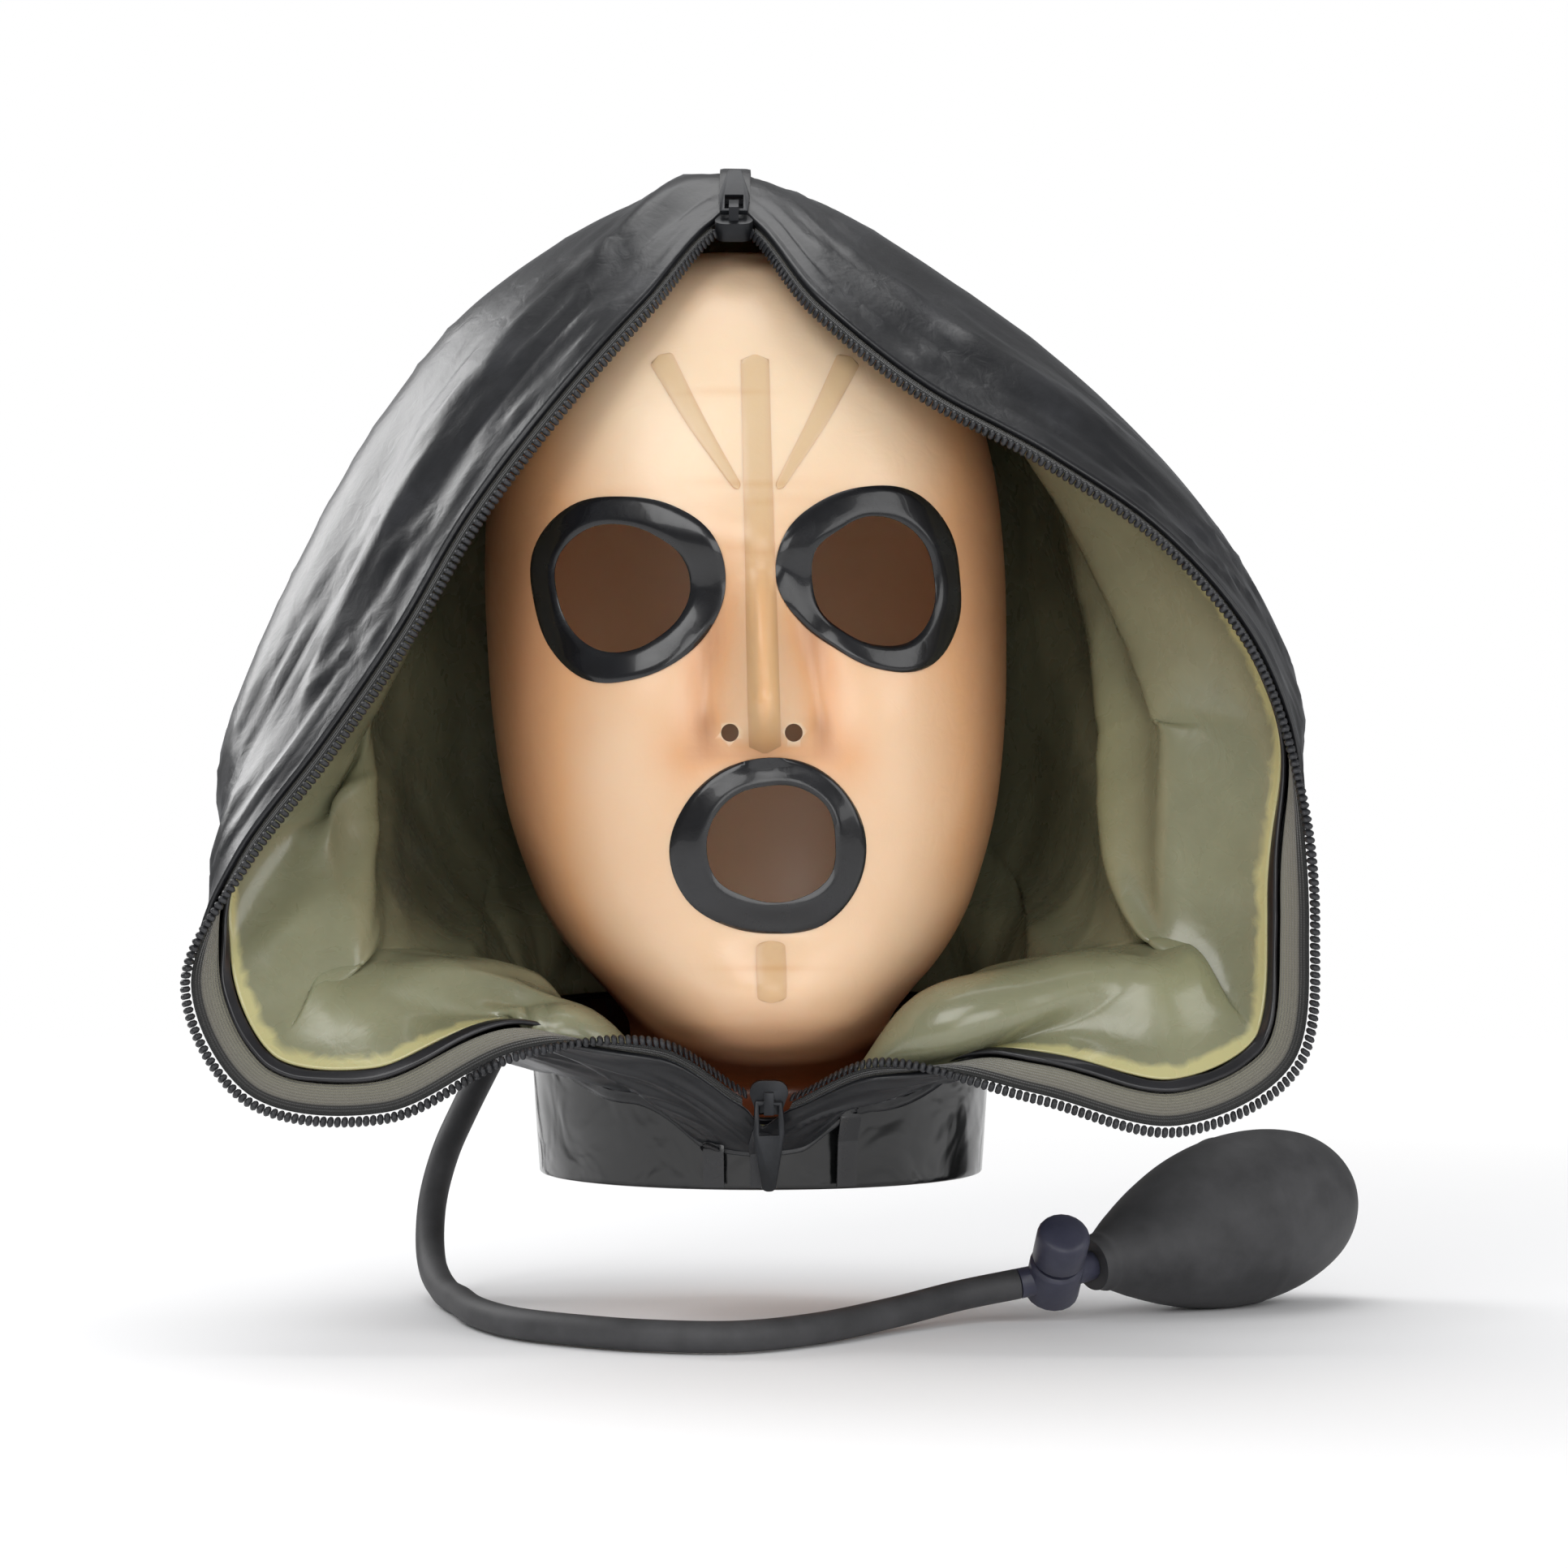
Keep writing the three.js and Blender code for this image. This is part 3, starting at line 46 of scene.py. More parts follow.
# camera at the photograph's place, level, looking along +Y
camera = {"place": (0.0145, -1.300, -0.1575), "lens": 99.89, "sensor": 36.0}


def makeCamera():
    data = bpy.data.cameras.new("camera")
    data.lens, data.sensor_width = camera["lens"], camera["sensor"]
    data.clip_start, data.clip_end = 0.05, 30
    obj = bpy.data.objects.new("camera", data)
    obj.location = camera["place"]
    obj.rotation_euler = (math.pi / 2, 0, 0)
    bpy.context.scene.collection.objects.link(obj)
    bpy.context.scene.camera = obj


makeCamera()

# curves and sheets


def unit(v):
    v = np.asarray(v, float)
    return v / np.maximum(np.linalg.norm(v, axis=-1, keepdims=True), 1e-12)


def softStep(t):
    c = np.clip(t, 0, 1)
    return c * c * (3 - 2 * c)


def curveAt(points, closed, shares):
    # a smooth curve through points, evaluated at shares of its spans
    pts = np.asarray(points, float)
    n = len(pts)
    span = n if closed else n - 1
    place = np.asarray(shares, float) * span
    seg = np.floor(place).astype(int)
    if not closed:
        seg = np.clip(seg, 0, n - 2)
    w = (place - seg)[:, None]

    def at(i):
        if closed:
            return pts[i % n]
        inside = pts[np.clip(i, 0, n - 1)]
        inside = np.where((i < 0)[:, None], 2 * pts[0] - pts[1], inside)
        return np.where((i > n - 1)[:, None], 2 * pts[-1] - pts[-2], inside)

    p0, p1, p2, p3 = at(seg - 1), at(seg), at(seg + 1), at(seg + 2)
    gap = [np.sqrt(np.linalg.norm(b - a, axis=1))[:, None] for a, b in ((p0, p1), (p1, p2), (p2, p3))]
    d1 = np.where(gap[1] < 1e-4, 1.0, gap[1])  # points that lie on each other
    d0 = np.where(gap[0] < 1e-4, d1, gap[0])
    d2 = np.where(gap[2] < 1e-4, d1, gap[2])
    t1 = ((p1 - p0) / d0 - (p2 - p0) / (d0 + d1) + (p2 - p1) / d1) * d1
    t2 = ((p2 - p1) / d1 - (p3 - p1) / (d1 + d2) + (p3 - p2) / d2) * d1
    return p1 + t1 * w + (3 * (p2 - p1) - 2 * t1 - t2) * w ** 2 + (2 * (p1 - p2) + t1 + t2) * w ** 3


def smoothRow(values, place, closed):
    # smooth value through a row of numbers at a place between them
    vals = np.asarray(values, float)
    place = np.asarray(place, float)
    i = np.floor(place).astype(int)
    t = place - i

    def pick(k):
        return vals[k % len(vals)] if closed else vals[np.clip(k, 0, len(vals) - 1)]

    a, b, c, d = pick(i - 1), pick(i), pick(i + 1), pick(i + 2)
    return 0.5 * (2 * b + (c - a) * t + (2 * a - 5 * b + 4 * c - d) * t ** 2
                  + (3 * b - a - 3 * c + d) * t ** 3)


def runAlong(line):
    # the length so far at each point of a line
    return np.concatenate([[0], np.cumsum(np.linalg.norm(np.diff(line, axis=0), axis=1))])


def only(obj):
    bpy.ops.object.select_all(action='DESELECT')
    obj.select_set(True)
    bpy.context.view_layer.objects.active = obj


def editAll(obj):
    # edit mode on one piece alone, with everything in it selected
    only(obj)
    bpy.ops.object.mode_set(mode='EDIT')
    bpy.ops.mesh.select_all(action='SELECT')


def objectMode():
    bpy.ops.object.mode_set(mode='OBJECT')


def applied(obj, kind, **settings):
    # adds a modifier and applies it
    only(obj)
    modifier = obj.modifiers.new(kind.lower(), kind)
    for key, value in settings.items():
        setattr(modifier, key, value)
    bpy.ops.object.modifier_apply(modifier=modifier.name)


def outwards(obj):
    editAll(obj)
    bpy.ops.mesh.normals_make_consistent(inside=False)
    objectMode()


def mergedOutwards(obj, distance):
    editAll(obj)
    bpy.ops.mesh.remove_doubles(threshold=distance)
    bpy.ops.mesh.normals_make_consistent(inside=False)
    objectMode()


def smoothBelow(obj, degrees):
    only(obj)
    bpy.ops.object.shade_smooth_by_angle(angle=math.radians(degrees))


def newPiece(name, points, edges, faces):
    mesh = bpy.data.meshes.new(name)
    mesh.from_pydata(points, edges, faces)
    obj = bpy.data.objects.new(name, mesh)
    bpy.context.scene.collection.objects.link(obj)
    return obj


def sheetMesh(name, grid, uv, closedRound=True, closedAcross=False, attributes=None):
    # a sheet of quads from a grid of points; uv and attributes follow the same grid
    rows, cols = grid.shape[:2]
    i = np.arange(rows if closedRound else rows - 1)
    j = np.arange(cols if closedAcross else cols - 1)
    a, b = np.meshgrid(i, j, indexing="ij")
    a2, b2 = (a + 1) % rows, (b + 1) % cols
    quads = np.stack([a * cols + b, a * cols + b2, a2 * cols + b2, a2 * cols + b], -1).reshape(-1, 4)
    obj = newPiece(name, (grid.reshape(-1, 3) * mm).tolist(), [], quads.tolist())
    mesh = obj.data
    layer = mesh.uv_layers.new(name="UVMap")
    aNext, bNext = a + 1, b + 1  # the seam's texture runs on, so it isn't squeezed into one quad
    uvWrap = np.concatenate([uv, uv[:1] + (np.array([uv[1, 0, 0] - uv[0, 0, 0], 0]) + uv[-1:] - uv[:1])], 0)
    uvWrap = np.concatenate([uvWrap, 2 * uvWrap[:, -1:] - uvWrap[:, -2:-1]], 1)
    corners = np.stack([uvWrap[a, b], uvWrap[a, bNext], uvWrap[aNext, bNext], uvWrap[aNext, b]], 2)
    layer.data.foreach_set("uv", corners.reshape(-1).astype(np.float32))
    for key, values in (attributes or {}).items():
        data = mesh.attributes.new(key, "FLOAT", "POINT")
        data.data.foreach_set("value", np.asarray(values, np.float32).reshape(-1))
    mesh.update()
    mesh.polygons.foreach_set("use_smooth", [True] * len(mesh.polygons))
    return obj


def closedSheet(name, grid, uv, closedRound=True, attributes=None):
    # a closed body from a grid whose rows are rings; an open run has its two ends filled
    obj = sheetMesh(name, grid, uv, closedRound, True, attributes)
    if not closedRound:
        editAll(obj)
        bpy.ops.mesh.fill_holes(sides=0)
        objectMode()
    outwards(obj)
    return obj


def closedRibbon(name, grid, closedRound=False, attributes=None):
    # the same with a plain texture grid: 5 rows or 10 points of a row to the unit
    uv = np.zeros(grid.shape[:2] + (2,))
    uv[..., 0] = np.arange(grid.shape[0])[:, None] / 5
    uv[..., 1] = np.arange(grid.shape[1])[None, :] / 10
    return closedSheet(name, grid, uv, closedRound, attributes)


def finishPiece(obj, material, body, slot, *nodes):
    obj.data.materials.clear()
    obj.data.materials.append(material)
    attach(obj, body)
    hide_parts(*nodes)


# the hood's wall, the same sheet as the solids follow

hood = {
    "halfWidth": 170, "height": 275, "top": 20, "rimReach": 85, "back": 125,
    "outerWall": 1.6, "liningWall": 1.2, "liningSag": 40, "foldRise": 12, "overlap": 4, "pastOverlap": 2,
    "lean": 0.0275, "frontShare": 0.09, "sheetHalf": 1.2, "columns": 480, "rows": 240,
    "calmEdge": 30, "shortWall": 90,
}
lip = {  # the edge of the lower lobes, turned in so that the tape and the strip show
    "in": 15, "forward": 7, "reach": 11, "power": 1.3, "hold": 22, "fade": 90,
    "middle": 7, "aim": (7, 0, -120), "leftStart": 176, "rightStart": 138, "grow": 55,
    "gap": 22, "gapFade": 45,
}
zipBand = {
    "length": 950, "tapeStart": 1.9, "tape": 10, "shownOutside": 2.6, "strip": 3.6, "stripStart": 8.92,
    "liningStart": 12.82, "pitch": 2.0, "sliderRoom": 0.0105, "sliderPush": 9.6 * 0.45,
}
collarSizes = {"radius": 66, "flare": 3, "wall": 1.5, "bottom": 273.5, "centreY": 15,
               "backDrop": 228, "frontDip": 36}

# loops round the wall, from the zip line to the nape: sideways, depth and drop, as shares of the sizes above
rimLeft = [(0.0, 0.47, 0.058), (-0.14, 0.78, 0.158), (-0.28, 0.9, 0.263), (-0.418, 0.93, 0.377),
           (-0.535, 0.94, 0.5), (-0.665, 0.94, 0.617), (-0.805, 0.93, 0.73), (-0.905, 0.9, 0.852),
           (-0.8, 0.98, 0.967), (-0.568, 1.0, 0.985), (-0.35, 1.0, 0.921), (-0.12, 0.93, 0.91),
           (0.06, 0.71, 0.974)]
rimRight = [(0.24, 0.92, 0.93), (0.5, 1.02, 0.965), (0.735, 1.02, 0.998), (0.93, 0.96, 0.935),
            (0.962, 0.92, 0.795), (0.937, 0.94, 0.65), (0.86, 0.94, 0.512), (0.709, 0.94, 0.4),
            (0.513, 0.93, 0.317), (0.308, 0.89, 0.247), (0.134, 0.79, 0.158)]
outlineRows = [(0.0, 0.0, 0.0), (-0.45, 0.04, 0.13), (-0.735, 0.14, 0.4), (-0.875, 0.38, 0.655),
               (-0.77, 0.56, 0.945), (-0.35, 0.74, 0.945), (0.059, 0.7, 0.994), (0.48, 0.74, 0.965),
               (0.9, 0.58, 0.925), (0.96, 0.4, 0.62), (0.8, 0.12, 0.356), (0.41, 0.04, 0.13)]
backRows = [(0.0, 0.76, 0.16), (0.4, 0.67, 0.27), (0.64, 0.55, 0.47), (0.75, 0.3, 0.7), (0.6, -0.2, 0.925),
            (0.3, -0.5, 0.95), (0.0, -0.456, 1.006)]
napeRows = [(0.0, 1.0, 0.56), (0.24, 0.96, 0.6), (0.41, 0.86, 0.67), (0.54, 0.42, 0.82),
            (0.44, -0.15, 0.925), (0.215, -0.4, 0.98), (0.0, -0.43, 1.016)]
liningRows = {  # sag of the lining every second step round the zip
    "near": [0.07, 0.16, 0.62, 0.75, 0.35, 0.18, 0.0, 0.18, 0.35, 0.85, 0.8, 0.1],
    "middle": [0.09, 0.14, 0.45, 0.7, 0.6, 0.52, 0.0, 0.52, 0.6, 0.85, 0.5, 0.08],
    "back": [0.14, 0.16, 0.25, 0.35, 0.58, 0.52, 0.0, 0.52, 0.58, 0.4, 0.25, 0.15],
}
# folds: from step, from way, to step, to way, half width, rise
outerFolds = [(1.4, 0.12, 4.6, 0.07, 0.035, 0.3), (1.0, 0.1, 0.2, 0.09, 0.03, 0.45),
              (22.8, 0.08, 20.2, 0.11, 0.035, 0.35), (5.2, 0.1, 7.0, 0.22, 0.05, -0.4),
              (2.6, 0.3, 5.0, 0.42, 0.06, -0.5), (21.0, 0.32, 18.8, 0.45, 0.06, -0.5),
              (23.4, 0.55, 1.8, 0.72, 0.07, -0.5)]
liningFolds = [(5.4, 0.26, 7.3, 0.34, 0.06, 1.0), (7.4, 0.2, 9.2, 0.3, 0.07, 0.7),
               (19.8, 0.3, 16.4, 0.36, 0.06, 1.0), (16.2, 0.22, 14.6, 0.32, 0.06, 0.8)]


def rowPoints(rows, ySize, side=1):
    # shares to millimetres
    r = np.array(rows, float)
    return np.stack([side * r[:, 0] * hood["halfWidth"], r[:, 1] * ySize,
                     hood["top"] - r[:, 2] * hood["height"]], 1)


def mirroredLoop(rows):
    # the back is the same on both sides, and leans with the mask
    left, right = rowPoints(rows, hood["back"], -1), rowPoints(rows, hood["back"], 1)
    points = np.concatenate([left, right[1:-1][::-1]])
    points[:, 0] -= hood["lean"] * points[:, 2]
    return points


def seamDrop(share):
    # how far down the wall meets the collar: lower at the front
    front = (1 - np.cos(share * 2 * np.pi)) / 2
    return collarSizes["backDrop"] + collarSizes["frontDip"] * front ** 4


collarCentreX = hood["lean"] * collarSizes["bottom"]


def collarPoint(share, drop, out):
    rise = (collarSizes["bottom"] - drop) / (collarSizes["bottom"] - collarSizes["backDrop"])
    radius = collarSizes["radius"] + collarSizes["flare"] * rise + out
    turn = np.asarray(share) * 2 * np.pi
    return np.stack([collarCentreX - radius * np.sin(turn),
                     collarSizes["centreY"] + radius * np.cos(turn), -drop + 0 * turn], -1)


def buildSheet():
    # the whole wall as a grid: round the zip line, and from the zip to the collar
    shares = np.arange(hood["columns"]) / hood["columns"]
    rim = curveAt(rowPoints(rimLeft + rimRight, -hood["rimReach"]), True, shares)
    outline = curveAt(rowPoints(outlineRows, -hood["rimReach"]), True, shares)
    back = curveAt(mirroredLoop(backRows), True, shares)
    nape = curveAt(mirroredLoop(napeRows), True, shares)
    drop = seamDrop(shares)
    end = collarPoint(shares, drop, 0)
    lead = np.minimum(hood["overlap"] + 1, np.linalg.norm(nape - end, axis=1) * 0.4)
    lower = collarPoint(shares, drop - lead, 0)
    # at the front the wall is short and runs straight down to the collar
    straight = (1 - softStep(np.abs(shares - 0.5) / hood["frontShare"]))[:, None]
    outline = outline + (rim + (nape - rim) * 0.35 - outline) * straight
    back = back + (rim + (nape - rim) * 0.7 - back) * straight
    # the lip points across the zip line, towards the middle of the opening
    inwards = np.cross(unit(np.roll(rim, -2, 0) - np.roll(rim, 2, 0)), (0, -1, 0))
    inwards = unit(inwards * (1, 0, 1))
    inwards *= np.sign(np.sum(inwards * (lip["aim"] - rim), axis=1))[:, None]
    starts = np.where(rim[:, 0] > lip["middle"], lip["rightStart"], lip["leftStart"])
    lipShare = softStep((-rim[:, 2] - starts) / lip["grow"])
    lipShare *= softStep((np.abs(rim[:, 0] - lip["middle"]) - lip["gap"]) / lip["gapFade"])
    push = inwards * lip["in"] + np.array([0, -1, 0]) * lip["forward"]
    ways = np.linspace(0, 1, hood["rows"] + 1)
    fine = np.linspace(0, 1, 401)
    grid = np.zeros((len(shares), len(ways), 3))
    length = np.zeros(len(shares))
    for k in range(len(shares)):
        line = curveAt([rim[k], outline[k], back[k], nape[k], lower[k], end[k]], False, fine)
        run = runAlong(line)
        bend = lipShare[k] * (1 - np.exp(-(run / lip["reach"]) ** lip["power"]))
        line = line + (bend * (1 - softStep((run - lip["hold"]) / lip["fade"])))[:, None] * push[k]
        run = runAlong(line)
        length[k] = run[-1]
        for axis in range(3):
            grid[k, :, axis] = np.interp(ways * run[-1], run, line[:, axis])
    along = np.roll(grid, -3, 0) - np.roll(grid, 3, 0)
    return grid, unit(np.cross(np.gradient(grid, axis=1), along)), length


sheetGrid, sheetNormal, sheetLength = buildSheet()


def bilinear(table, share, way):
    # a value of the sheet's grid between its points
    u = np.mod(share, 1) * hood["columns"]
    v = np.clip(way, 0, 1) * hood["rows"]
    i, j = np.floor(u).astype(int), np.minimum(np.floor(v).astype(int), hood["rows"] - 1)
    fu, fv = (u - i)[..., None], (v - j)[..., None]
    i, i2 = i % hood["columns"], (i + 1) % hood["columns"]
    return ((table[i, j] * (1 - fv) + table[i, j + 1] * fv) * (1 - fu)
            + (table[i2, j] * (1 - fv) + table[i2, j + 1] * fv) * fu)


def wallLength(share):
    u = np.mod(share, 1) * hood["columns"]
    i = np.floor(u).astype(int)
    f = u - i
    return sheetLength[i % hood["columns"]] * (1 - f) + sheetLength[(i + 1) % hood["columns"]] * f


def wallPoint(share, across, out):
    # millimetres from the zip line and outwards; past the wall's end it goes on down the collar
    share, across = np.broadcast_arrays(np.asarray(share, float), np.asarray(across, float))
    length = wallLength(share)
    way = across / length
    normal = unit(bilinear(sheetNormal, share, way))
    on = bilinear(sheetGrid, share, way) + normal * np.asarray(out)[..., None]
    past = collarPoint(share, seamDrop(share) + np.maximum(across - length, 0), out)
    return np.where((across > length)[..., None], past, on)


def foldHeight(folds, share, way):
    # rise of the folds at a place: each runs between two points, given in 24 steps round the zip
    share, way = np.broadcast_arrays(np.asarray(share, float), np.asarray(way, float))
    step = np.mod(share, 1) * 24
    height = np.zeros(step.shape)
    for fromStep, fromWay, toStep, toWay, wide, rise in folds:
        dx, dy = ((toStep - fromStep + 12) % 24 - 12) / 12, toWay - fromWay
        px, py = ((step - fromStep + 12) % 24 - 12) / 12, way - fromWay
        t = np.clip((px * dx + py * dy) / (dx * dx + dy * dy), 0, 1)
        distance = np.hypot(px - dx * t, py - dy * t)
        height += rise * hood["foldRise"] * np.sin(np.pi * (0.15 + 0.7 * t)) * np.exp(-(distance / wide) ** 2)
    return height


def bandScale(share):
    # the zip's band is squeezed where the wall is too short for it, at the collar
    spare = hood["overlap"] + hood["pastOverlap"]
    room = wallLength(share) - zipBand["tapeStart"] - spare
    return np.minimum(1, room / (zipBand["liningStart"] + spare))


def bandPlace(share, across):
    return zipBand["tapeStart"] + across * bandScale(share)


def sliderRelief(share):
    off = np.minimum(np.minimum(np.abs(share), np.abs(share - 0.5)), np.abs(share - 1))
    return zipBand["sliderPush"] * (1 - softStep(off / zipBand["sliderRoom"]))


def blendAlong(share, way):
    # nothing at the zip and at the collar, whole between them
    length = wallLength(share)
    edge = hood["calmEdge"]
    room = np.clip((length - edge) / hood["shortWall"], 0, 1)
    past = length * (1 - way) - hood["overlap"] - hood["pastOverlap"]
    return room * softStep((way * length - zipBand["liningStart"]) / edge) * softStep(past / edge)


def fieldNoise(a, b, c, seed):
    # smooth noise over arrays of coordinates
    whole = np.stack(np.broadcast_arrays(a, b, c), -1)
    return np.array([noise.noise(Vector(p)) for p in whole.reshape(-1, 3) + seed]).reshape(whole.shape[:-1])


def wallNoise(along, across, pattern):
    long, wide, layer, seed = pattern
    return fieldNoise(along / long, across / wide, layer, seed)


print("wall sheet ready")

# materials


def toLinear(hexColour):
    parts = [int(hexColour[i:i + 2], 16) / 255 for i in (1, 3, 5)]
    return tuple(c / 12.92 if c <= 0.04045 else ((c + 0.055) / 1.055) ** 2.4 for c in parts) + (1.0,)


def addNode(tree, kind, settings):
    # lower-case settings are the node's own; the others are its inputs: a value, a node or a socket
    node = tree.nodes.new("ShaderNode" + kind)
    for key, value in settings.items():
        if key == "stops":
            ramp = node.color_ramp
            while len(ramp.elements) < len(value):
                ramp.elements.new(0.5)
            for element, (place, colour) in zip(ramp.elements, value):
                element.position, element.color = place, toLinear(colour)
        elif isinstance(key, str) and key[0].islower():
            setattr(node, key, value)
        elif isinstance(value, bpy.types.Node):
            source = 2 if value.bl_idname == "ShaderNodeMix" else 0  # a colour mix gives its colour third
            tree.links.new(value.outputs[source], node.inputs[key])
        elif isinstance(value, bpy.types.NodeSocket):
            tree.links.new(value, node.inputs[key])
        else:
            node.inputs[key].default_value = toLinear(value) if isinstance(value, str) else value
    return node


def newMaterial(name):
    # an empty material, and the outputs that tell where on the piece it is
    material = bpy.data.materials.new(name)
    material.use_nodes = True
    material.node_tree.nodes.clear()
    return material, material.node_tree, addNode(material.node_tree, "TexCoord", {}).outputs


def shaded(material, settings):
    shader = addNode(material.node_tree, "BsdfPrincipled", settings)
    addNode(material.node_tree, "OutputMaterial", {"Surface": shader})
    return material


def blackLatex():
    # black sheet latex, calendered and powdered: a soft grey sheen, faint clouding, tiny ripples
    material, tree, where = newMaterial("blackLatex")
    place = where["Object"]
    # clouds 26 mm across, ripples 7 mm, and a powdered grain of 1 mm, drawn coarser than the real one
    cloud = addNode(tree, "TexNoise", {"Scale": 38.0, "Detail": 5.0, "Roughness": 0.6, "Vector": place})
    fine = addNode(tree, "TexNoise", {"Scale": 900.0, "Detail": 2.0, "Vector": place})
    ripple = addNode(tree, "TexNoise", {"Scale": 150.0, "Detail": 3.0, "Distortion": 0.8, "Vector": place})
    tone = addNode(tree, "ValToRGB", {
        "stops": [(0.3, "#141518"), (0.55, "#1d1e21"), (0.75, "#2b2c30")], "Fac": cloud})
    gloss = addNode(tree, "MapRange", {"To Min": 0.26, "To Max": 0.42, "Value": cloud})
    relief = addNode(tree, "Bump", {"Strength": 0.3, "Distance": 0.0006, "Height": ripple})
    grain = addNode(tree, "Bump", {"Strength": 0.25, "Distance": 0.0001, "Height": fine, "Normal": relief})
    return shaded(material, {
        "IOR": 1.52, "Sheen Weight": 0.16, "Sheen Roughness": 0.25, "Sheen Tint": "#c9ccd2",
        "Base Color": tone, "Roughness": gloss, "Normal": grain})


def smokyLatex():
    # smoky translucent sheet latex over black: olive grey, with a painted highlight yellow on the fold ridges
    # and painted shade in the hollows, wet gloss
    material, tree, where = newMaterial("smokyLatex")
    place = where["Object"]
    # clouds 33 mm across and blotches of 11 mm
    cloud = addNode(tree, "TexNoise", {"Scale": 30.0, "Detail": 6.0, "Roughness": 0.62, "Vector": place})
    blotch = addNode(tree, "TexNoise", {"Scale": 95.0, "Detail": 3.0, "Distortion": 1.2, "Vector": place})
    # painted highlight and painted shade: the fold attribute runs from dark in the hollows to yellow on the
    # fold ridges
    fold = addNode(tree, "Attribute", {"attribute_name": "fold"})
    base = addNode(tree, "ValToRGB", {
        "stops": [(0.25, "#5b5c49"), (0.5, "#77775f"), (0.75, "#8f8f74")], "Fac": cloud})
    depth = addNode(tree, "ValToRGB", {
        "stops": [(0.0, "#34342c"), (0.45, "#78785f"), (0.62, "#8b8b6c"), (1.0, "#a8a873")],
        "Fac": fold.outputs["Fac"]})
    cloudAndFoldShade = addNode(tree, "Mix", {"data_type": "RGBA", "blend_type": "MIX", 0: 0.6, 6: base, 7: depth})
    split = addNode(tree, "SeparateXYZ", {"Vector": where["UV"]})
    # the glued band, about 16 mm from the zip line, with a wavy edge
    near = addNode(tree, "Math", {"operation": "DIVIDE", 1: 10.0, 0: split.outputs[1]})
    wave = addNode(tree, "Math", {"operation": "MULTIPLY_ADD", 1: 0.05, 0: blotch, 2: near})
    band = addNode(tree, "ValToRGB", {
        "stops": [(0.0, "#ffffff"), (0.195, "#ffffff"), (0.215, "#000000"), (1.0, "#000000")],
        "Fac": wave})
    glued = addNode(tree, "Mix", {"data_type": "RGBA", 7: "#b3ad7c", 0: band, 6: cloudAndFoldShade})
    gloss = addNode(tree, "MapRange", {"To Min": 0.2, "To Max": 0.36, "Value": blotch})
    relief = addNode(tree, "Bump", {"Strength": 0.25, "Distance": 0.0008, "Height": blotch})
    return shaded(material, {
        "IOR": 1.52, "Coat Weight": 0.35, "Coat Roughness": 0.12, "Subsurface Weight": 0.08,
        "Subsurface Scale": 0.003,
        "Base Color": glued, "Roughness": gloss, "Normal": relief})


def naturalLatex(name, light, dark, deepShade):
    # natural sheet latex, translucent: light scatters in it, so it is warm and soft with a satin gloss
    material, tree, where = newMaterial(name)
    place = where["Object"]
    # clouds 38 mm across, stretch marks of 9 mm and specks of 2.4 mm, drawn coarser than the real ones
    cloud = addNode(tree, "TexNoise", {"Scale": 26.0, "Detail": 5.0, "Roughness": 0.55, "Vector": place})
    speck = addNode(tree, "TexNoise", {"Scale": 420.0, "Detail": 3.0, "Vector": place})
    stretch = addNode(tree, "TexNoise", {"Scale": 110.0, "Detail": 3.0, "Distortion": 1.5, "Vector": place})
    # painted shade: the shade attribute, with random clouding, moves the colour from the lit tone to the
    # shaded tone and the deep-shade tone
    shade = addNode(tree, "Attribute", {"attribute_name": "shade"})
    cloudAndShade = addNode(tree, "Math", {"operation": "MULTIPLY_ADD", 1: 0.14, 0: cloud, 2: shade.outputs["Fac"]})
    tone = addNode(tree, "ValToRGB", {"stops": [(0.05, light), (0.45, dark), (1.0, deepShade)], "Fac": cloudAndShade})
    gloss = addNode(tree, "MapRange", {"To Min": 0.32, "To Max": 0.45, "Value": stretch})
    relief = addNode(tree, "Bump", {"Strength": 0.22, "Distance": 0.0006, "Height": stretch})
    grain = addNode(tree, "Bump", {"Strength": 0.2, "Distance": 0.0001, "Height": speck, "Normal": relief})
    return shaded(material, {
        "IOR": 1.52, "Subsurface Weight": 0.35, "Subsurface Scale": 0.006,
        "Subsurface Radius": (1.0, 0.5, 0.28), "Coat Weight": 0.2, "Coat Roughness": 0.22,
        "Base Color": tone, "Roughness": gloss, "Normal": grain})


def glossLatex(name, light, dark, rough, wave=0.2, waveDepth=0.0005, ripples=160.0):
    # polished black latex: near-black with a wet shine, slightly uneven from the glue
    material, tree, where = newMaterial(name)
    place = where["Object"]
    # clouds 14 mm across; ripples 6 mm, and 21 mm on the collar
    cloud = addNode(tree, "TexNoise", {"Scale": 70.0, "Detail": 4.0, "Vector": place})
    ripple = addNode(tree, "TexNoise", {"Scale": ripples, "Detail": 2.0, "Distortion": 0.6, "Vector": place})
    tone = addNode(tree, "ValToRGB", {"stops": [(0.35, dark), (0.7, light)], "Fac": cloud})
    gloss = addNode(tree, "MapRange", {"To Min": rough, "To Max": rough + 0.12, "Value": ripple})
    relief = addNode(tree, "Bump", {"Strength": wave, "Distance": waveDepth, "Height": ripple})
    return shaded(material, {
        "IOR": 1.48, "Coat Weight": 0.3, "Coat Roughness": 0.05,
        "Base Color": tone, "Roughness": gloss, "Normal": relief})


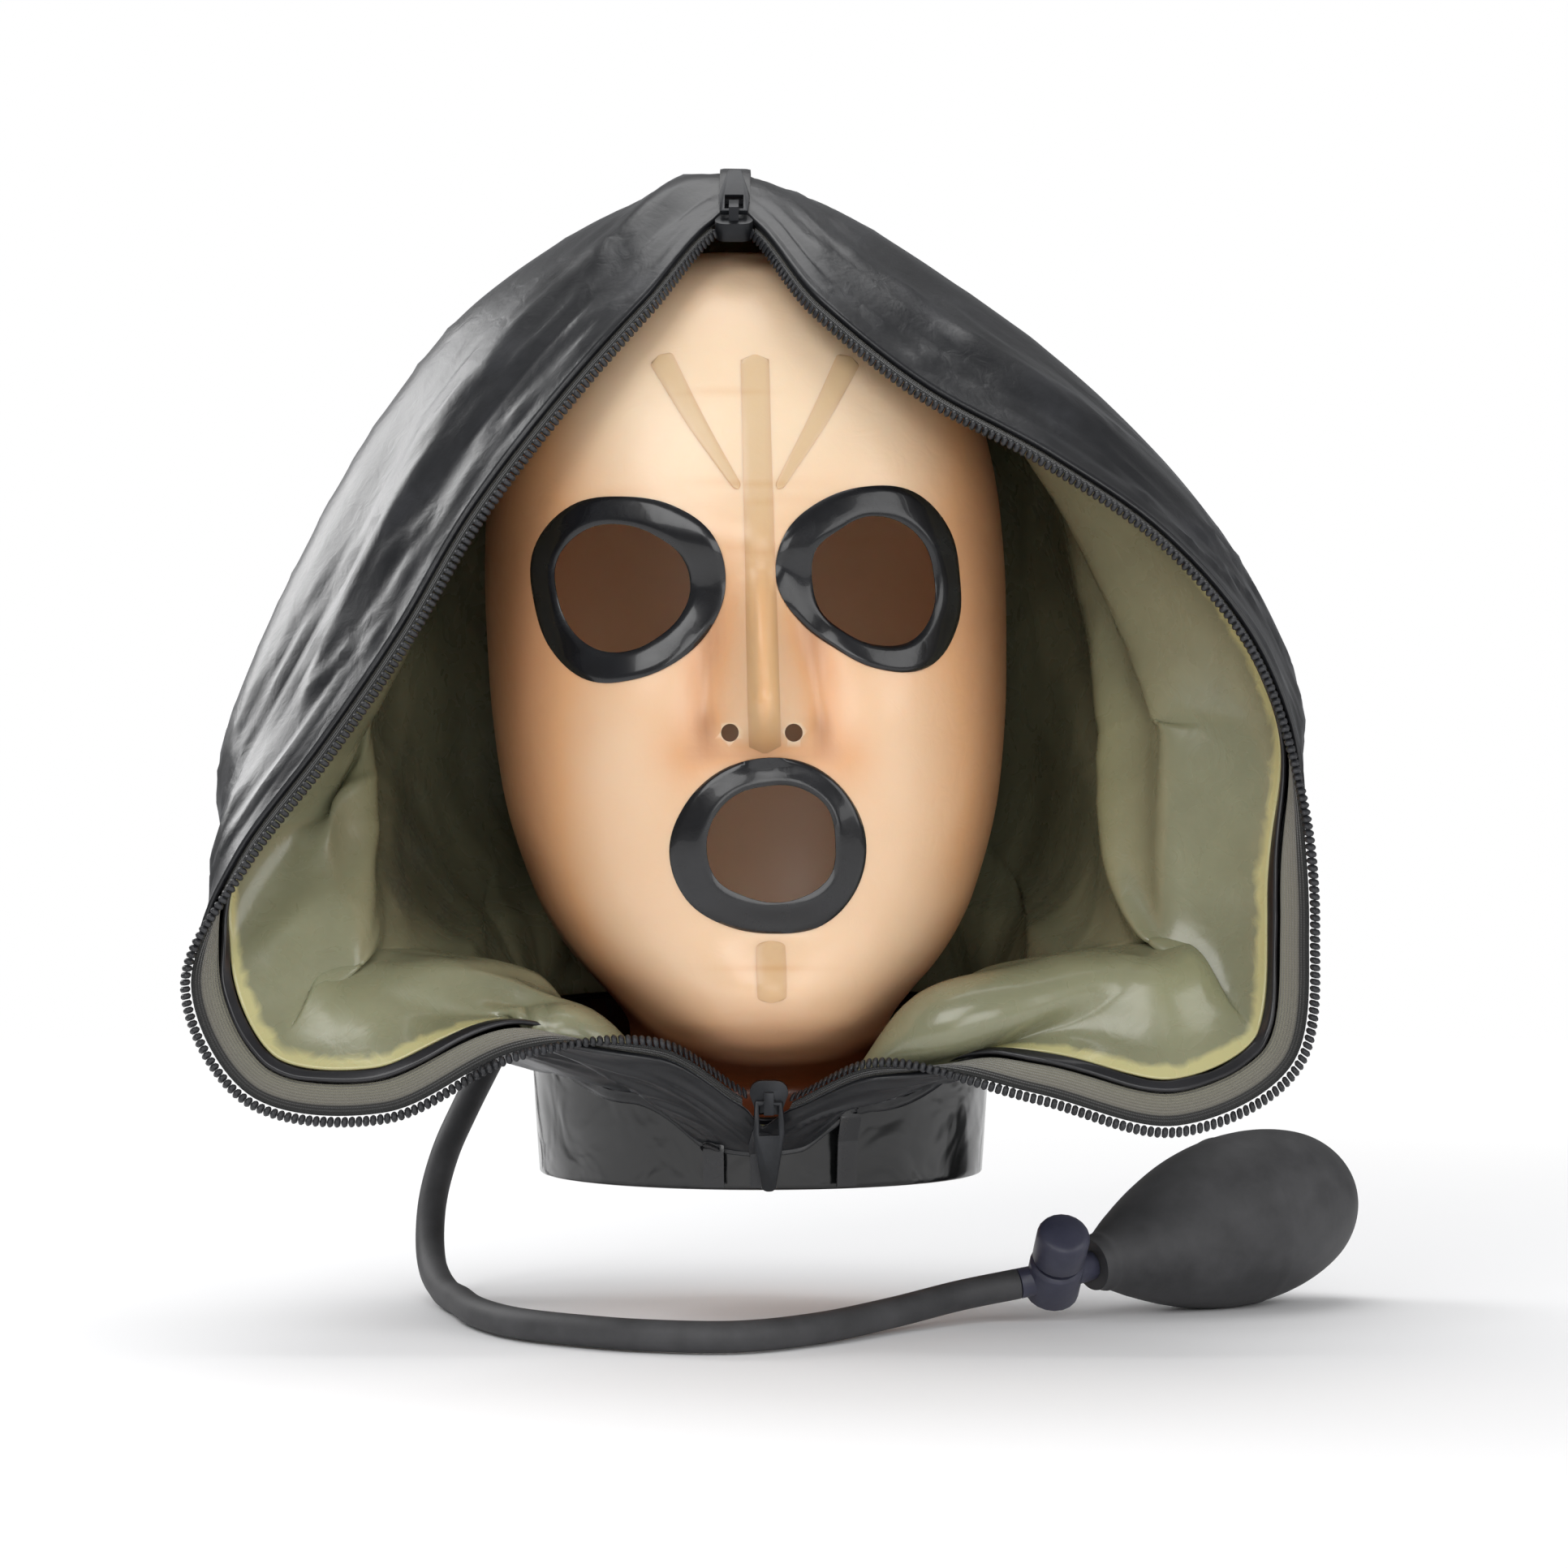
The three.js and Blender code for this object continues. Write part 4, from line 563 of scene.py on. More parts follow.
def wovenTape():
    # polyester zip tape, woven: fine ribs along it every 0.9 mm, weft every 0.7 mm, matte grey
    material, tree, where = newMaterial("wovenTape")
    split = addNode(tree, "SeparateXYZ", {"Vector": where["UV"]})  # in centimetres
    rib = addNode(tree, "Math", {"operation": "MULTIPLY", 1: 2 * math.pi / 0.09, 0: split.outputs[1]})
    ribWave = addNode(tree, "Math", {"operation": "SINE", 0: rib})
    weft = addNode(tree, "Math", {"operation": "MULTIPLY", 1: 2 * math.pi / 0.07, 0: split.outputs[0]})
    weftWave = addNode(tree, "Math", {"operation": "SINE", 0: weft})
    weave = addNode(tree, "Math", {"operation": "MULTIPLY", 0: ribWave, 1: weftWave})
    height = addNode(tree, "Math", {"operation": "MULTIPLY_ADD", 1: 0.5, 0: weave, 2: ribWave})
    fuzz = addNode(tree, "TexNoise", {"Scale": 700.0, "Detail": 3.0, "Vector": where["Object"]})
    # dark where the coil is sewn on, grey beyond 3 mm
    across = addNode(tree, "Math", {"operation": "MULTIPLY", 1: 0.9, 0: split.outputs[1]})
    edge = addNode(tree, "ValToRGB", {
        "stops": [(0.0, "#2a2b2b"), (0.24, "#2d2d2c"), (0.3, "#77746a"), (0.9, "#8a8776")], "Fac": across})
    dim = addNode(tree, "MapRange", {
        "From Min": -1.5, "From Max": 1.5, "To Min": 0.72, "To Max": 1.0, "Value": height})
    tone = addNode(tree, "Mix", {"data_type": "RGBA", "blend_type": "MULTIPLY", 0: 1.0, 6: edge, 7: dim})
    relief = addNode(tree, "Bump", {"Strength": 0.8, "Distance": 0.00025, "Height": height})
    grain = addNode(tree, "Bump", {"Strength": 0.4, "Distance": 0.0002, "Height": fuzz, "Normal": relief})
    return shaded(material, {
        "Roughness": 0.88, "Sheen Weight": 0.3, "IOR": 1.5,
        "Base Color": tone, "Normal": grain})


def mouldedPolymer(name, light, dark, rough, metallic=0.0, skin=900.0):
    # moulded or cast small parts: even colour, fine surface grain, duller where handled
    material, tree, where = newMaterial(name)
    place = where["Object"]
    # clouds 17 mm across; the grain is 1.1 mm, 1.5 mm on rubber and 2.5 mm on the cast zinc
    cloud = addNode(tree, "TexNoise", {"Scale": 60.0, "Detail": 5.0, "Roughness": 0.6, "Vector": place})
    grain = addNode(tree, "TexNoise", {"Scale": skin, "Detail": 2.0, "Vector": place})
    tone = addNode(tree, "ValToRGB", {"stops": [(0.3, dark), (0.72, light)], "Fac": cloud})
    gloss = addNode(tree, "MapRange", {"To Min": rough - 0.08, "To Max": rough + 0.1, "Value": cloud})
    relief = addNode(tree, "Bump", {"Strength": 0.3, "Distance": 0.00012, "Height": grain})
    return shaded(material, {
        "IOR": 1.5, "Metallic": metallic,
        "Base Color": tone, "Roughness": gloss, "Normal": relief})


finishes = {
    "outer": blackLatex(),
    "lining": smokyLatex(),
    # lit tone, painted-shade tone and deep painted-shade tone of the mask latex and of the seam latex
    "mask": naturalLatex("naturalLatex", "#f0d2b4", "#dca67a", "#6f3c1e"),
    "seam": naturalLatex("amberLatex", "#f0caa0", "#dca272", "#8a5230"),
    "trim": glossLatex("glossLatex", "#141519", "#0b0b0e", 0.2),
    "collar": glossLatex("collarLatex", "#151617", "#0b0c0c", 0.12, 0.6, 0.003, 48.0),
    "strip": glossLatex("stripLatex", "#1c1c20", "#111115", 0.3),
    "tape": wovenTape(),
    "teeth": mouldedPolymer("coilPolyester", "#2e2f33", "#1b1c1f", 0.42),
    "metal": mouldedPolymer("blackZinc", "#26282c", "#141518", 0.34, 0.55, 400.0),
    "rubber": mouldedPolymer("mouldedRubber", "#48484a", "#2f2f31", 0.6, 0.0, 650.0),
    "plastic": mouldedPolymer("valvePlastic", "#424354", "#2f3040", 0.42),
}
print("materials ready")

# outer wall and lining

outerWall = {  # each pattern: size along the zip, size away from it, layer and seed of its noise
    "columns": 384, "rows": 96, "crowding": 1.15,
    "pleat": 1.3, "pleats": (46, 7.5, 0, 3.1), "billow": 2.2, "billows": (75, 60, 0, 11.7),
    "crease": 0.9, "creases": (16, 80, 0, 7.3),
}


def ridges(n, sharp):
    return (1 - np.minimum(1, np.abs(n) * 2.2)) ** sharp


def wallGrid(sizes, start, end):
    # shares round the zip, ways away from it, and the same as distances in millimetres
    shares = (np.arange(sizes["columns"]) / sizes["columns"])[:, None]
    length = wallLength(shares)
    begin = start(shares) / length
    last = 1 - end / length
    ways = begin + (last - begin) * (np.linspace(0, 1, sizes["rows"] + 1) ** sizes["crowding"])[None, :]
    across = ways * length
    return shares, length, ways, across, shares * zipBand["length"] + 0 * across


def wallPiece(name, shares, along, across, out, wall, attributes=None):
    grid = wallPoint(shares + 0 * across, across, out)
    obj = sheetMesh(name, grid, np.stack([along / 10, across / 10], -1), attributes=attributes)
    applied(obj, "SOLIDIFY", thickness=wall * mm, offset=0.0)
    outwards(obj)
    return obj


def outerStart(shares):
    return bandPlace(shares, zipBand["shownOutside"]) + sliderRelief(shares)


def outerShell():
    s = outerWall
    shares, length, ways, across, along = wallGrid(s, outerStart, 0)
    lift = blendAlong(shares, ways) * foldHeight(outerFolds, shares, ways)
    end = softStep((1 - ways) * length / 22)
    pleats = ridges(wallNoise(along, across, s["pleats"]), 2.5) * softStep((across - 5) / 9)
    pleats *= softStep((75 - across) / 45) * end
    billows = wallNoise(along, across, s["billows"]) * softStep((across - 12) / 40) * end
    creases = ridges(wallNoise(along, across, s["creases"]), 3) * softStep((across - 60) / 50) * end
    crown = 1 - np.exp(-(np.minimum(shares, 1 - shares) / 0.012) ** 2) * softStep((90 - across) / 25)
    relief = crown * (s["pleat"] * pleats + s["billow"] * billows + s["crease"] * creases)
    out = hood["sheetHalf"] + hood["outerWall"] / 2 + lift + relief
    obj = wallPiece("outer_hood", shares, along, across, out, hood["outerWall"])
    finishPiece(obj, finishes["outer"], "hood", "black_latex", "outer_shell")


innerWall = {
    "columns": 384, "rows": 96, "crowding": 1.1,
    "billow": 2.6, "billows": (55, 42, 0, 21.3), "crumple": 0.45, "crumples": (24, 30, 0.4, 5.9),
    "fine": 0.05, "fines": (9, 13, 0.4, 15.9),
}


def liningDrop(share, way):
    place = np.mod(share, 1) * 12
    near, middle, back = (smoothRow(liningRows[k], place, True) for k in ("near", "middle", "back"))
    slot = np.clip((way - 0.2) / 0.27, 0, 1.999)
    t = softStep(np.mod(slot, 1))
    sag = np.where(slot < 1, near + (middle - near) * t, middle + (back - middle) * t) * hood["liningSag"]
    fold = foldHeight(liningFolds, share, way)
    return blendAlong(share, way) * np.maximum(0.3, sag + fold), fold


def liningStart(shares):
    return bandPlace(shares, zipBand["liningStart"])


def innerLining():
    s = innerWall
    shares, length, ways, across, along = wallGrid(s, liningStart, hood["overlap"] + 1)
    drop, fold = liningDrop(shares + 0 * across, ways)
    calm = softStep((across - zipBand["liningStart"] - 4) / 20) * softStep((1 - ways) * length / 30)
    extra = calm * (s["billow"] * wallNoise(along, across, s["billows"])
                    + s["crumple"] * ridges(wallNoise(along, across, s["crumples"]), 2)
                    + s["fine"] * ridges(wallNoise(along, across, s["fines"]), 2))
    # painted highlight on the ridges and painted shade in the hollows, from the lining's relief, kept in the
    # fold attribute
    foldLightAndShade = np.clip(0.5 + 0.03 * extra + 0.016 * fold, 0, 1)
    room = np.clip(drop, 0, 3) / 3
    extra = np.maximum(extra, -0.6 * drop) * (0.3 + 0.7 * room)
    out = -hood["sheetHalf"] - hood["liningWall"] / 2 - drop - extra
    obj = wallPiece("inner_lining_sheet", shares, along, across, out, hood["liningWall"], {"fold": foldLightAndShade})
    finishPiece(obj, finishes["lining"], "hood", "smoky_latex", "inner_lining")


outerShell()
innerLining()
print("hood walls ready")

# zip: tape, edge strip and coil

tapeShape = {"thick": 1.0, "step": 2.5, "points": 13}
stripShape = {"thick": 1.5, "columns": 470, "points": 9, "sway": 0.5, "widen": 0.22}


def zipShares(low, high, step):
    # shares at equal distances along the zip line
    fine = np.linspace(low, high, 2000)
    run = runAlong(wallPoint(fine, 0.0, np.zeros_like(fine)))
    count = int(round(run[-1] / step))
    return np.interp(np.linspace(0, run[-1], count + 1), run, fine), run[-1]


def bandSheet(name, shares, across, out, uvAcross, closedRound, length):
    # a closed band: rows of a section, given by its distances from the zip line and outwards
    grid = wallPoint(shares[:, None] + 0 * across, across, out)
    along = np.linspace(0, length, len(shares))[:, None] / 10 + 0 * across
    return closedSheet(name, grid, np.stack([along, uvAcross + 0 * across], -1), closedRound)


def bandSection(width, thick, count):
    # distances and heights round a flat band with rounded edges
    top = np.linspace(0, 1, count)
    dome = 0.5 * thick * (1 - np.abs(2 * top - 1) ** 10)
    return width * np.concatenate([top, top[::-1][1:-1]]), np.concatenate([dome, -dome[::-1][1:-1]])


def zipTape(side, low, high):
    s = tapeShape
    shares, run = zipShares(low, high, s["step"])
    acrossRow, outRow = bandSection(zipBand["tape"], s["thick"], s["points"])
    across = bandPlace(shares[:, None], acrossRow[None, :])
    out = outRow[None, :] + 0 * across
    obj = bandSheet("tape_" + side, shares, across, out, acrossRow[None, :] / 10, False, run)
    finishPiece(obj, finishes["tape"], "hood", "zip_tape", "zip_tape_" + side)


def edgeStrip():
    # a glued strip that covers the lining's edge, a little uneven as it is laid by hand
    s = stripShape
    shares = np.arange(s["columns"]) / s["columns"]
    acrossRow, outRow = bandSection(zipBand["strip"], s["thick"], s["points"])
    half = zipBand["strip"] / 2
    sway = fieldNoise(shares * 60, 0, 0, 2.2) * s["sway"]
    widen = 1 + fieldNoise(shares * 85, 1, 0, 8.2) * s["widen"]
    rows = zipBand["stripStart"] + half + sway[:, None] + (acrossRow - half)[None, :] * widen[:, None]
    across = bandPlace(shares[:, None], rows)
    out = outRow[None, :] - hood["sheetHalf"] - s["thick"] / 2 + 0 * across
    obj = bandSheet("edge_strip", shares, across, out, acrossRow[None, :] / 10, True, zipBand["length"])
    finishPiece(obj, finishes["strip"], "hood", "gloss_latex", "lining_edge_strip")


coil = {"long": 1.66, "wide": 2.6, "tall": 2.6, "bevel": 0.55, "slant": 0.16, "inset": 0.1, "lap": 0.002}


def oneTooth():
    # one turn of the coil: a rounded loop lying across the zip
    bpy.ops.object.select_all(action='DESELECT')
    bpy.ops.mesh.primitive_cube_add(size=1.0, location=(0, 0, 0))
    tooth = bpy.context.active_object
    tooth.scale = (coil["long"], coil["wide"], coil["tall"])
    bpy.ops.object.transform_apply(location=True, rotation=True, scale=True)
    editAll(tooth)
    bpy.ops.mesh.bevel(offset=coil["bevel"], segments=1, affect='EDGES')
    objectMode()
    points = np.array([v.co for v in tooth.data.vertices])
    faces = [list(p.vertices) for p in tooth.data.polygons]
    bpy.data.objects.remove(tooth)
    return points, faces


def zipCoil(side, low, high):
    shares, _ = zipShares(low, high, zipBand["pitch"])
    shares = (shares[:-1] + shares[1:]) / 2
    zero = np.zeros_like(shares)
    centre = wallPoint(shares, 0.0, zero)
    alongDir = unit(wallPoint(shares + 0.0015, 0.0, zero) - wallPoint(shares - 0.0015, 0.0, zero))
    acrossDir = unit(wallPoint(shares, 1.0, zero) - centre)
    outDir = unit(np.cross(alongDir, acrossDir))
    toothPoints, toothFaces = oneTooth()
    long = (toothPoints[:, 0] + coil["slant"] * toothPoints[:, 1])[:, None]
    wide = (toothPoints[:, 1] - coil["inset"])[:, None]
    points, faces = [], []
    for k in range(len(shares)):
        p = centre[k] + long * alongDir[k] + wide * acrossDir[k] + toothPoints[:, 2][:, None] * outDir[k]
        faces += [[i + len(points) for i in f] for f in toothFaces]
        points += (p * mm).tolist()
    obj = newPiece("coil_" + side, points, [], faces)
    outwards(obj)
    smoothBelow(obj, 50)
    finishPiece(obj, finishes["teeth"], "hood", "zip_plastic", "zip_teeth_" + side)


for side, low in (("left", 0), ("right", 0.5)):
    low, high = low + zipBand["sliderRoom"], low + 0.5 - zipBand["sliderRoom"]
    zipTape(side, low, high)
    zipCoil(side, low - coil["lap"], high + coil["lap"])
edgeStrip()
print("zip ready")

# the face mask

mask = {
    "wall": 1.6, "height": 273, "halfWidth": 77.5, "depth": 90, "lean": 0.0275, "turn": 3.3, "roll": 3.6,
    "rise": 15, "fuller": 0.05, "axisY": 5, "frontColumns": 118, "backColumns": 58, "rows": 210,
    "eyeReach": 27, "eyeSpacing": 34, "eyeDrop": 101.8, "mouthReach": 27, "mouthDrop": 174.7,
    "nostrilRadius": 2.5, "nostrilSpacing": 8.9, "nostrilDrop": 143.2,
    "eyeShift": -3.1, "mouthShift": 0.2, "nostrilShift": -0.8,
}
maskSections = {
    "down": [0.0, 0.01, 0.034, 0.08, 0.155, 0.24, 0.335, 0.425, 0.515, 0.61, 0.695, 0.74, 0.775, 0.805,
             0.832, 0.852, 0.875, 0.91, 0.955],
    "side": [0.0, 0.32, 0.54, 0.73, 0.89, 0.97, 1.0, 1.0, 0.985, 0.94, 0.85, 0.775, 0.69, 0.595, 0.52,
             0.5, 0.52, 0.61, 0.74],
    "front": [0.0, 0.25, 0.44, 0.62, 0.78, 0.88, 0.935, 0.95, 0.96, 0.97, 0.975, 0.975, 0.97, 0.96,
              0.92, 0.8, 0.62, 0.52, 0.65],
    "back": [0.0, 0.31, 0.53, 0.76, 0.94, 1.01, 1.03, 1.01, 0.96, 0.89, 0.81, 0.77, 0.74, 0.7, 0.67,
             0.65, 0.64, 0.64, 0.65],
    "axis": [0, 0, 0, 0, 0, 0, 0, 0, 0, 0, 0.05, 0.1, 0.15, 0.22, 0.32, 0.5, 0.75, 0.95, 1],
}
# relief of the face: sideways, down, half width, half height, rise
features = [(0.0, 0.505, 0.12, 0.042, 1.1), (0.0, 0.44, 0.085, 0.07, 0.72), (0.0, 0.33, 0.5, 0.035, 0.22),
            (-0.43, 0.378, 0.2, 0.04, -0.42), (0.43, 0.378, 0.2, 0.04, -0.42),
            (-0.48, 0.513, 0.22, 0.06, 0.25), (0.48, 0.513, 0.22, 0.06, 0.25),
            (0.0, 0.635, 0.28, 0.05, 0.3), (0.0, 0.8, 0.26, 0.036, 0.42), (0.0, 0.732, 0.3, 0.022, -0.14)]
fineFeatures = [(-0.13, 0.522, 0.055, 0.016, 0.2), (0.13, 0.522, 0.055, 0.016, 0.2),
                (0.0, 0.56, 0.16, 0.018, -0.12), (-0.2, 0.47, 0.07, 0.05, -0.14),
                (0.2, 0.47, 0.07, 0.05, -0.14), (0.0, 0.362, 0.1, 0.02, -0.1)]
ringRows = {
    "leftEye": [1.03, 1.15, 1.13, 1.02, 1.02, 1.06, 1.01, 0.92, 0.87, 0.9, 1.0, 1.01],
    "leftHole": [0.78, 0.88, 0.84, 0.74, 0.68, 0.69, 0.66, 0.6, 0.57, 0.61, 0.68, 0.73],
    "rightEye": [0.96, 1.01, 1.04, 0.97, 0.96, 1.0, 0.98, 0.86, 0.82, 0.94, 1.1, 1.04],
    "rightHole": [0.7, 0.71, 0.7, 0.67, 0.62, 0.66, 0.63, 0.64, 0.64, 0.71, 0.79, 0.76],
    "mouth": [1.01, 0.97, 0.94, 0.91, 0.92, 0.96, 1.03, 1.02, 0.94, 0.92, 1.0, 1.02],
    "mouthHole": [0.71, 0.74, 0.69, 0.63, 0.64, 0.65, 0.66, 0.66, 0.6, 0.61, 0.66, 0.73],
}


def maskSection(place):
    last = len(maskSections["down"]) - 1
    inside = np.minimum(place, last)
    row = {key: smoothRow(values, inside, False) for key, values in maskSections.items()}
    out = {"drop": row["down"] * mask["height"] - mask["wall"], "side": row["side"] * mask["halfWidth"],
           "front": row["front"] * mask["depth"], "back": row["back"] * mask["depth"], "axis": row["axis"]}
    neckDrop = mask["height"] - mask["wall"]
    radius = collarPoint(0.0, neckDrop, -(collarSizes["wall"] / 2 + 0.5))[1] - collarSizes["centreY"]
    neck = {"drop": neckDrop, "side": radius, "front": radius, "back": radius, "axis": 1}
    t = np.clip(place - last, 0, 1)
    for key in out:
        out[key] = out[key] + (neck[key] - out[key]) * (t if key == "drop" else softStep(t))
    return out


def maskSurface(turn, place):
    section = maskSection(place)
    sine, cosine = np.sin(turn), np.cos(turn)
    depth = np.where(cosine > 0, section["front"], section["back"])
    fuller = 1 + mask["fuller"] * np.sin(2 * turn) ** 2 * (1 - section["axis"])
    sideways, forwards = section["side"] * sine * fuller, depth * cosine * fuller
    across, downwards = sideways / mask["halfWidth"], (section["drop"] + mask["wall"]) / mask["height"]
    rise = 0
    for side, down, wide, tall, height in features + fineFeatures:
        rise = rise + height * mask["rise"] * np.exp(-((across - side) / wide) ** 2
                                                     - ((downwards - down) / tall) ** 2)
    relief = np.where(cosine > 0, rise * softStep(cosine * 2), 0)
    facing = math.radians(mask["turn"]) * (1 - section["axis"])
    x, y = sideways, -(forwards + relief)
    leaning = mask["lean"] * section["drop"]
    axisX = leaning + (collarCentreX - leaning) * section["axis"]
    axisY = mask["axisY"] + (collarSizes["centreY"] - mask["axisY"]) * section["axis"]
    return np.stack([axisX + x * np.cos(facing) - y * np.sin(facing),
                     axisY + x * np.sin(facing) + y * np.cos(facing), -section["drop"] + 0 * x], -1)


maskTurns = np.radians(np.concatenate([np.linspace(-90, 90, mask["frontColumns"], endpoint=False),
                                       np.linspace(90, 270, mask["backColumns"], endpoint=False)]))[:, None]
maskPlaces = np.linspace(0, len(maskSections["down"]), mask["rows"] + 1)[None, :]
maskGrid = maskSurface(maskTurns, maskPlaces + 0 * maskTurns)

maskShadeAndTone = {  # how much painted shade each place of the face gets: below zero a painted highlight, plain the base tone, seam the strips' own darker tone
    "plain": 0.16, "side": 0.5, "low": 0.4, "socket": 0.22, "crease": 0.16, "nose": 0.3, "lip": 0.32,
    "wings": 0.25, "lines": 0.12, "forehead": -0.16,
    "above": 0.55, "below": 1.6, "inside": 0.35, "seam": 0.12,
}
wrinkleShadeLines = [(73, -6, 34), (78, 22, 26), (46.5, -4, 12), (92, 3, 10), (209, 5, 14)]  # painted shade along the stretch wrinkles: drop, middle, reach


def bell(value, centre, width):
    return np.exp(-((value - centre) / width) ** 2)


def maskShade(points):
    # painted shade: darker and redder where the sheet lies away from the light (sides, sockets, under the
    # chin) and along wrinkles, with a painted highlight on the forehead
    x, drop = points[..., 0] + mask["lean"] * points[..., 2], -points[..., 2]
    off = np.abs(x - 5)  # from the middle of the face
    chin = drop - 235 + 22 * np.minimum(1.4, np.abs(x - 6) / 51) ** 2.4  # below the jaw line
    amount = {
        "plain": 1,
        "side": softStep((np.abs(x - 4) - 34) / 42) ** 1.5,
        "low": softStep((chin + 24) / 26) * maskShadeAndTone["above"] + softStep(chin / 6) * maskShadeAndTone["below"],
        "socket": bell(drop, 103, 24) * (bell(x, -34, 30) + bell(x, 33, 30)),
        "crease": bell(drop, 150, 12) * bell(off, 22, 9),
        "nose": bell(drop, 118, 24) * bell(off, 14 + (drop - 118) * 0.12, 5.5),
        "lip": bell(drop, 149.5, 4) * bell(x, 5, 17),
        "wings": bell(drop, 142, 6) * bell(off, 16, 3.5),
        "lines": sum(bell(drop, d + 0.0012 * off ** 2, 0.9) * bell(x, middle, reach)
                     for d, middle, reach in wrinkleShadeLines),
        "forehead": bell(drop, 55, 42) * bell(x, 3, 48),
    }
    return np.clip(sum(maskShadeAndTone[key] * value for key, value in amount.items()), 0, 1)


def ringOutline(centre, reach, column, mirror, count):
    turn = np.arange(count) / count * 2 * np.pi
    radius = reach * smoothRow(ringRows[column], np.arange(count) / count * 12, True)
    roll = math.radians(mask["roll"])
    across, up = radius * np.cos(turn) * mirror, radius * np.sin(turn)
    return np.stack([centre[0] + across * math.cos(roll) - up * math.sin(roll),
                     centre[1] + across * math.sin(roll) + up * math.cos(roll)], -1)


def faceAxisX(drop):
    return mask["lean"] * drop + mask["depth"] * math.sin(math.radians(mask["turn"]))


roll = math.radians(mask["roll"])
eyeAt = {side: (faceAxisX(mask["eyeDrop"]) + mask["eyeShift"] + side * mask["eyeSpacing"] * math.cos(roll),
                -mask["eyeDrop"] + side * mask["eyeSpacing"] * math.sin(roll)) for side in (-1, 1)}
mouthAt = (faceAxisX(mask["mouthDrop"]) + mask["mouthShift"], -mask["mouthDrop"])
rings = [("eye_ring_left", eyeAt[-1], mask["eyeReach"], "leftEye", "leftHole", -1),
         ("eye_ring_right", eyeAt[1], mask["eyeReach"], "rightEye", "rightHole", 1),
         ("mouth_ring", mouthAt, mask["mouthReach"], "mouth", "mouthHole", 1)]
flatMask = sheetMesh("mask_probe", maskGrid, np.zeros(maskGrid.shape[:2] + (2,)))
maskTree = BVHTree.FromPolygons([v.co.copy() for v in flatMask.data.vertices],
                                [list(p.vertices) for p in flatMask.data.polygons])
bpy.data.objects.remove(flatMask)


def onMask(x, z, lift):
    # drops a point from in front onto the mask and lifts it off along its normal, in millimetres
    hit, normal, _, _ = maskTree.ray_cast(Vector((x, -200, z)) * mm, Vector((0, 1, 0)))
    if hit is None:
        return np.array([x, 0, z])
    if normal.y > 0:
        normal = -normal
    return np.array(hit / mm) + np.array(normal) * lift


def cutPrism(outline):
    # an upright outline pushed along the line of sight through the front of the mask
    count = len(outline)
    points = [(x * mm, y * mm, z * mm) for y in (-140, -27) for x, z in outline]
    faces = [list(range(count)), list(range(count, 2 * count))[::-1]]
    faces += [[i, (i + 1) % count, count + (i + 1) % count, count + i][::-1] for i in range(count)]
    obj = newPiece("cutter", points, [], faces)
    outwards(obj)
    return obj


def faceMask():
    inside = np.where(maskGrid[..., 1] > 15, maskShadeAndTone["inside"], 1)  # less painted shade on the back, seen through the holes
    shade = maskShade(maskGrid) * inside
    uv = np.stack([maskTurns * 8 + 0 * shade, -maskGrid[..., 2] / 10], -1)
    obj = sheetMesh("face_mask_sheet", maskGrid, uv, attributes={"shade": shade})
    mergedOutwards(obj, 0.00002)
    front = min(obj.data.polygons, key=lambda p: p.center.y)
    if front.normal.y > 0:
        obj.data.flip_normals()
    applied(obj, "SOLIDIFY", thickness=mask["wall"] * mm, offset=-1.0)
    cutters = [cutPrism(ringOutline(centre, reach, hole, mirror, ringShape["points"]))
               for _, centre, reach, _, hole, mirror in rings]
    turn = np.arange(24) / 24 * 2 * np.pi
    radius, drop = mask["nostrilRadius"], mask["nostrilDrop"]
    for side in (-1, 1):
        x = faceAxisX(drop) + mask["nostrilShift"] + side * mask["nostrilSpacing"]
        cutters.append(cutPrism(np.stack([x + radius * np.cos(turn), -drop + radius * np.sin(turn)], -1)))
    for cutter in cutters:
        applied(obj, "BOOLEAN", operation="DIFFERENCE", solver="EXACT", object=cutter)
        bpy.data.objects.remove(cutter)
    smoothBelow(obj, 40)
    finishPiece(obj, finishes["mask"], "hood", "natural_latex", "face_mask")


ringShape = {"points": 96, "across": 9, "lift": 0.3, "dome": 0.62, "flat": 7, "edge": 0.6, "lap": 0.5,
             "sway": 0.18, "under": [(1, 0.1), (0.5, 0.1), (0.06, -0.1), (0, 0.05)]}


def faceRing(name, centre, reach, column, hole, mirror):
    s = ringShape
    outer = ringOutline(centre, reach, column, mirror, s["points"])
    inner = ringOutline(centre, reach, hole, mirror, s["points"])
    rows = []
    for k in range(s["points"]):
        step = inner[k] - outer[k]
        a, b = inner[k] + step / np.hypot(*step) * s["lap"], outer[k]
        dome = s["dome"] + s["sway"] * noise.noise(Vector((a[0] / 9, a[1] / 9, 4.0)))
        top = [onMask(*(a + (b - a) * f), s["lift"] + dome * (1 - abs(2 * f - 1) ** s["flat"]) ** s["edge"])
               for f in np.linspace(0, 1, s["across"])]
        low = [onMask(*(a + (b - a) * f), lift) for f, lift in s["under"]]
        rows.append(top + low)
    obj = closedRibbon(name + "_domed", np.asarray(rows), True)
    smoothBelow(obj, 60)
    finishPiece(obj, finishes["trim"], "hood", "gloss_latex", name)


seamShape = {"count": 70, "across": 9, "lift": 0.2, "dome": 0.22, "under": 0.08, "endRadius": 1.6}


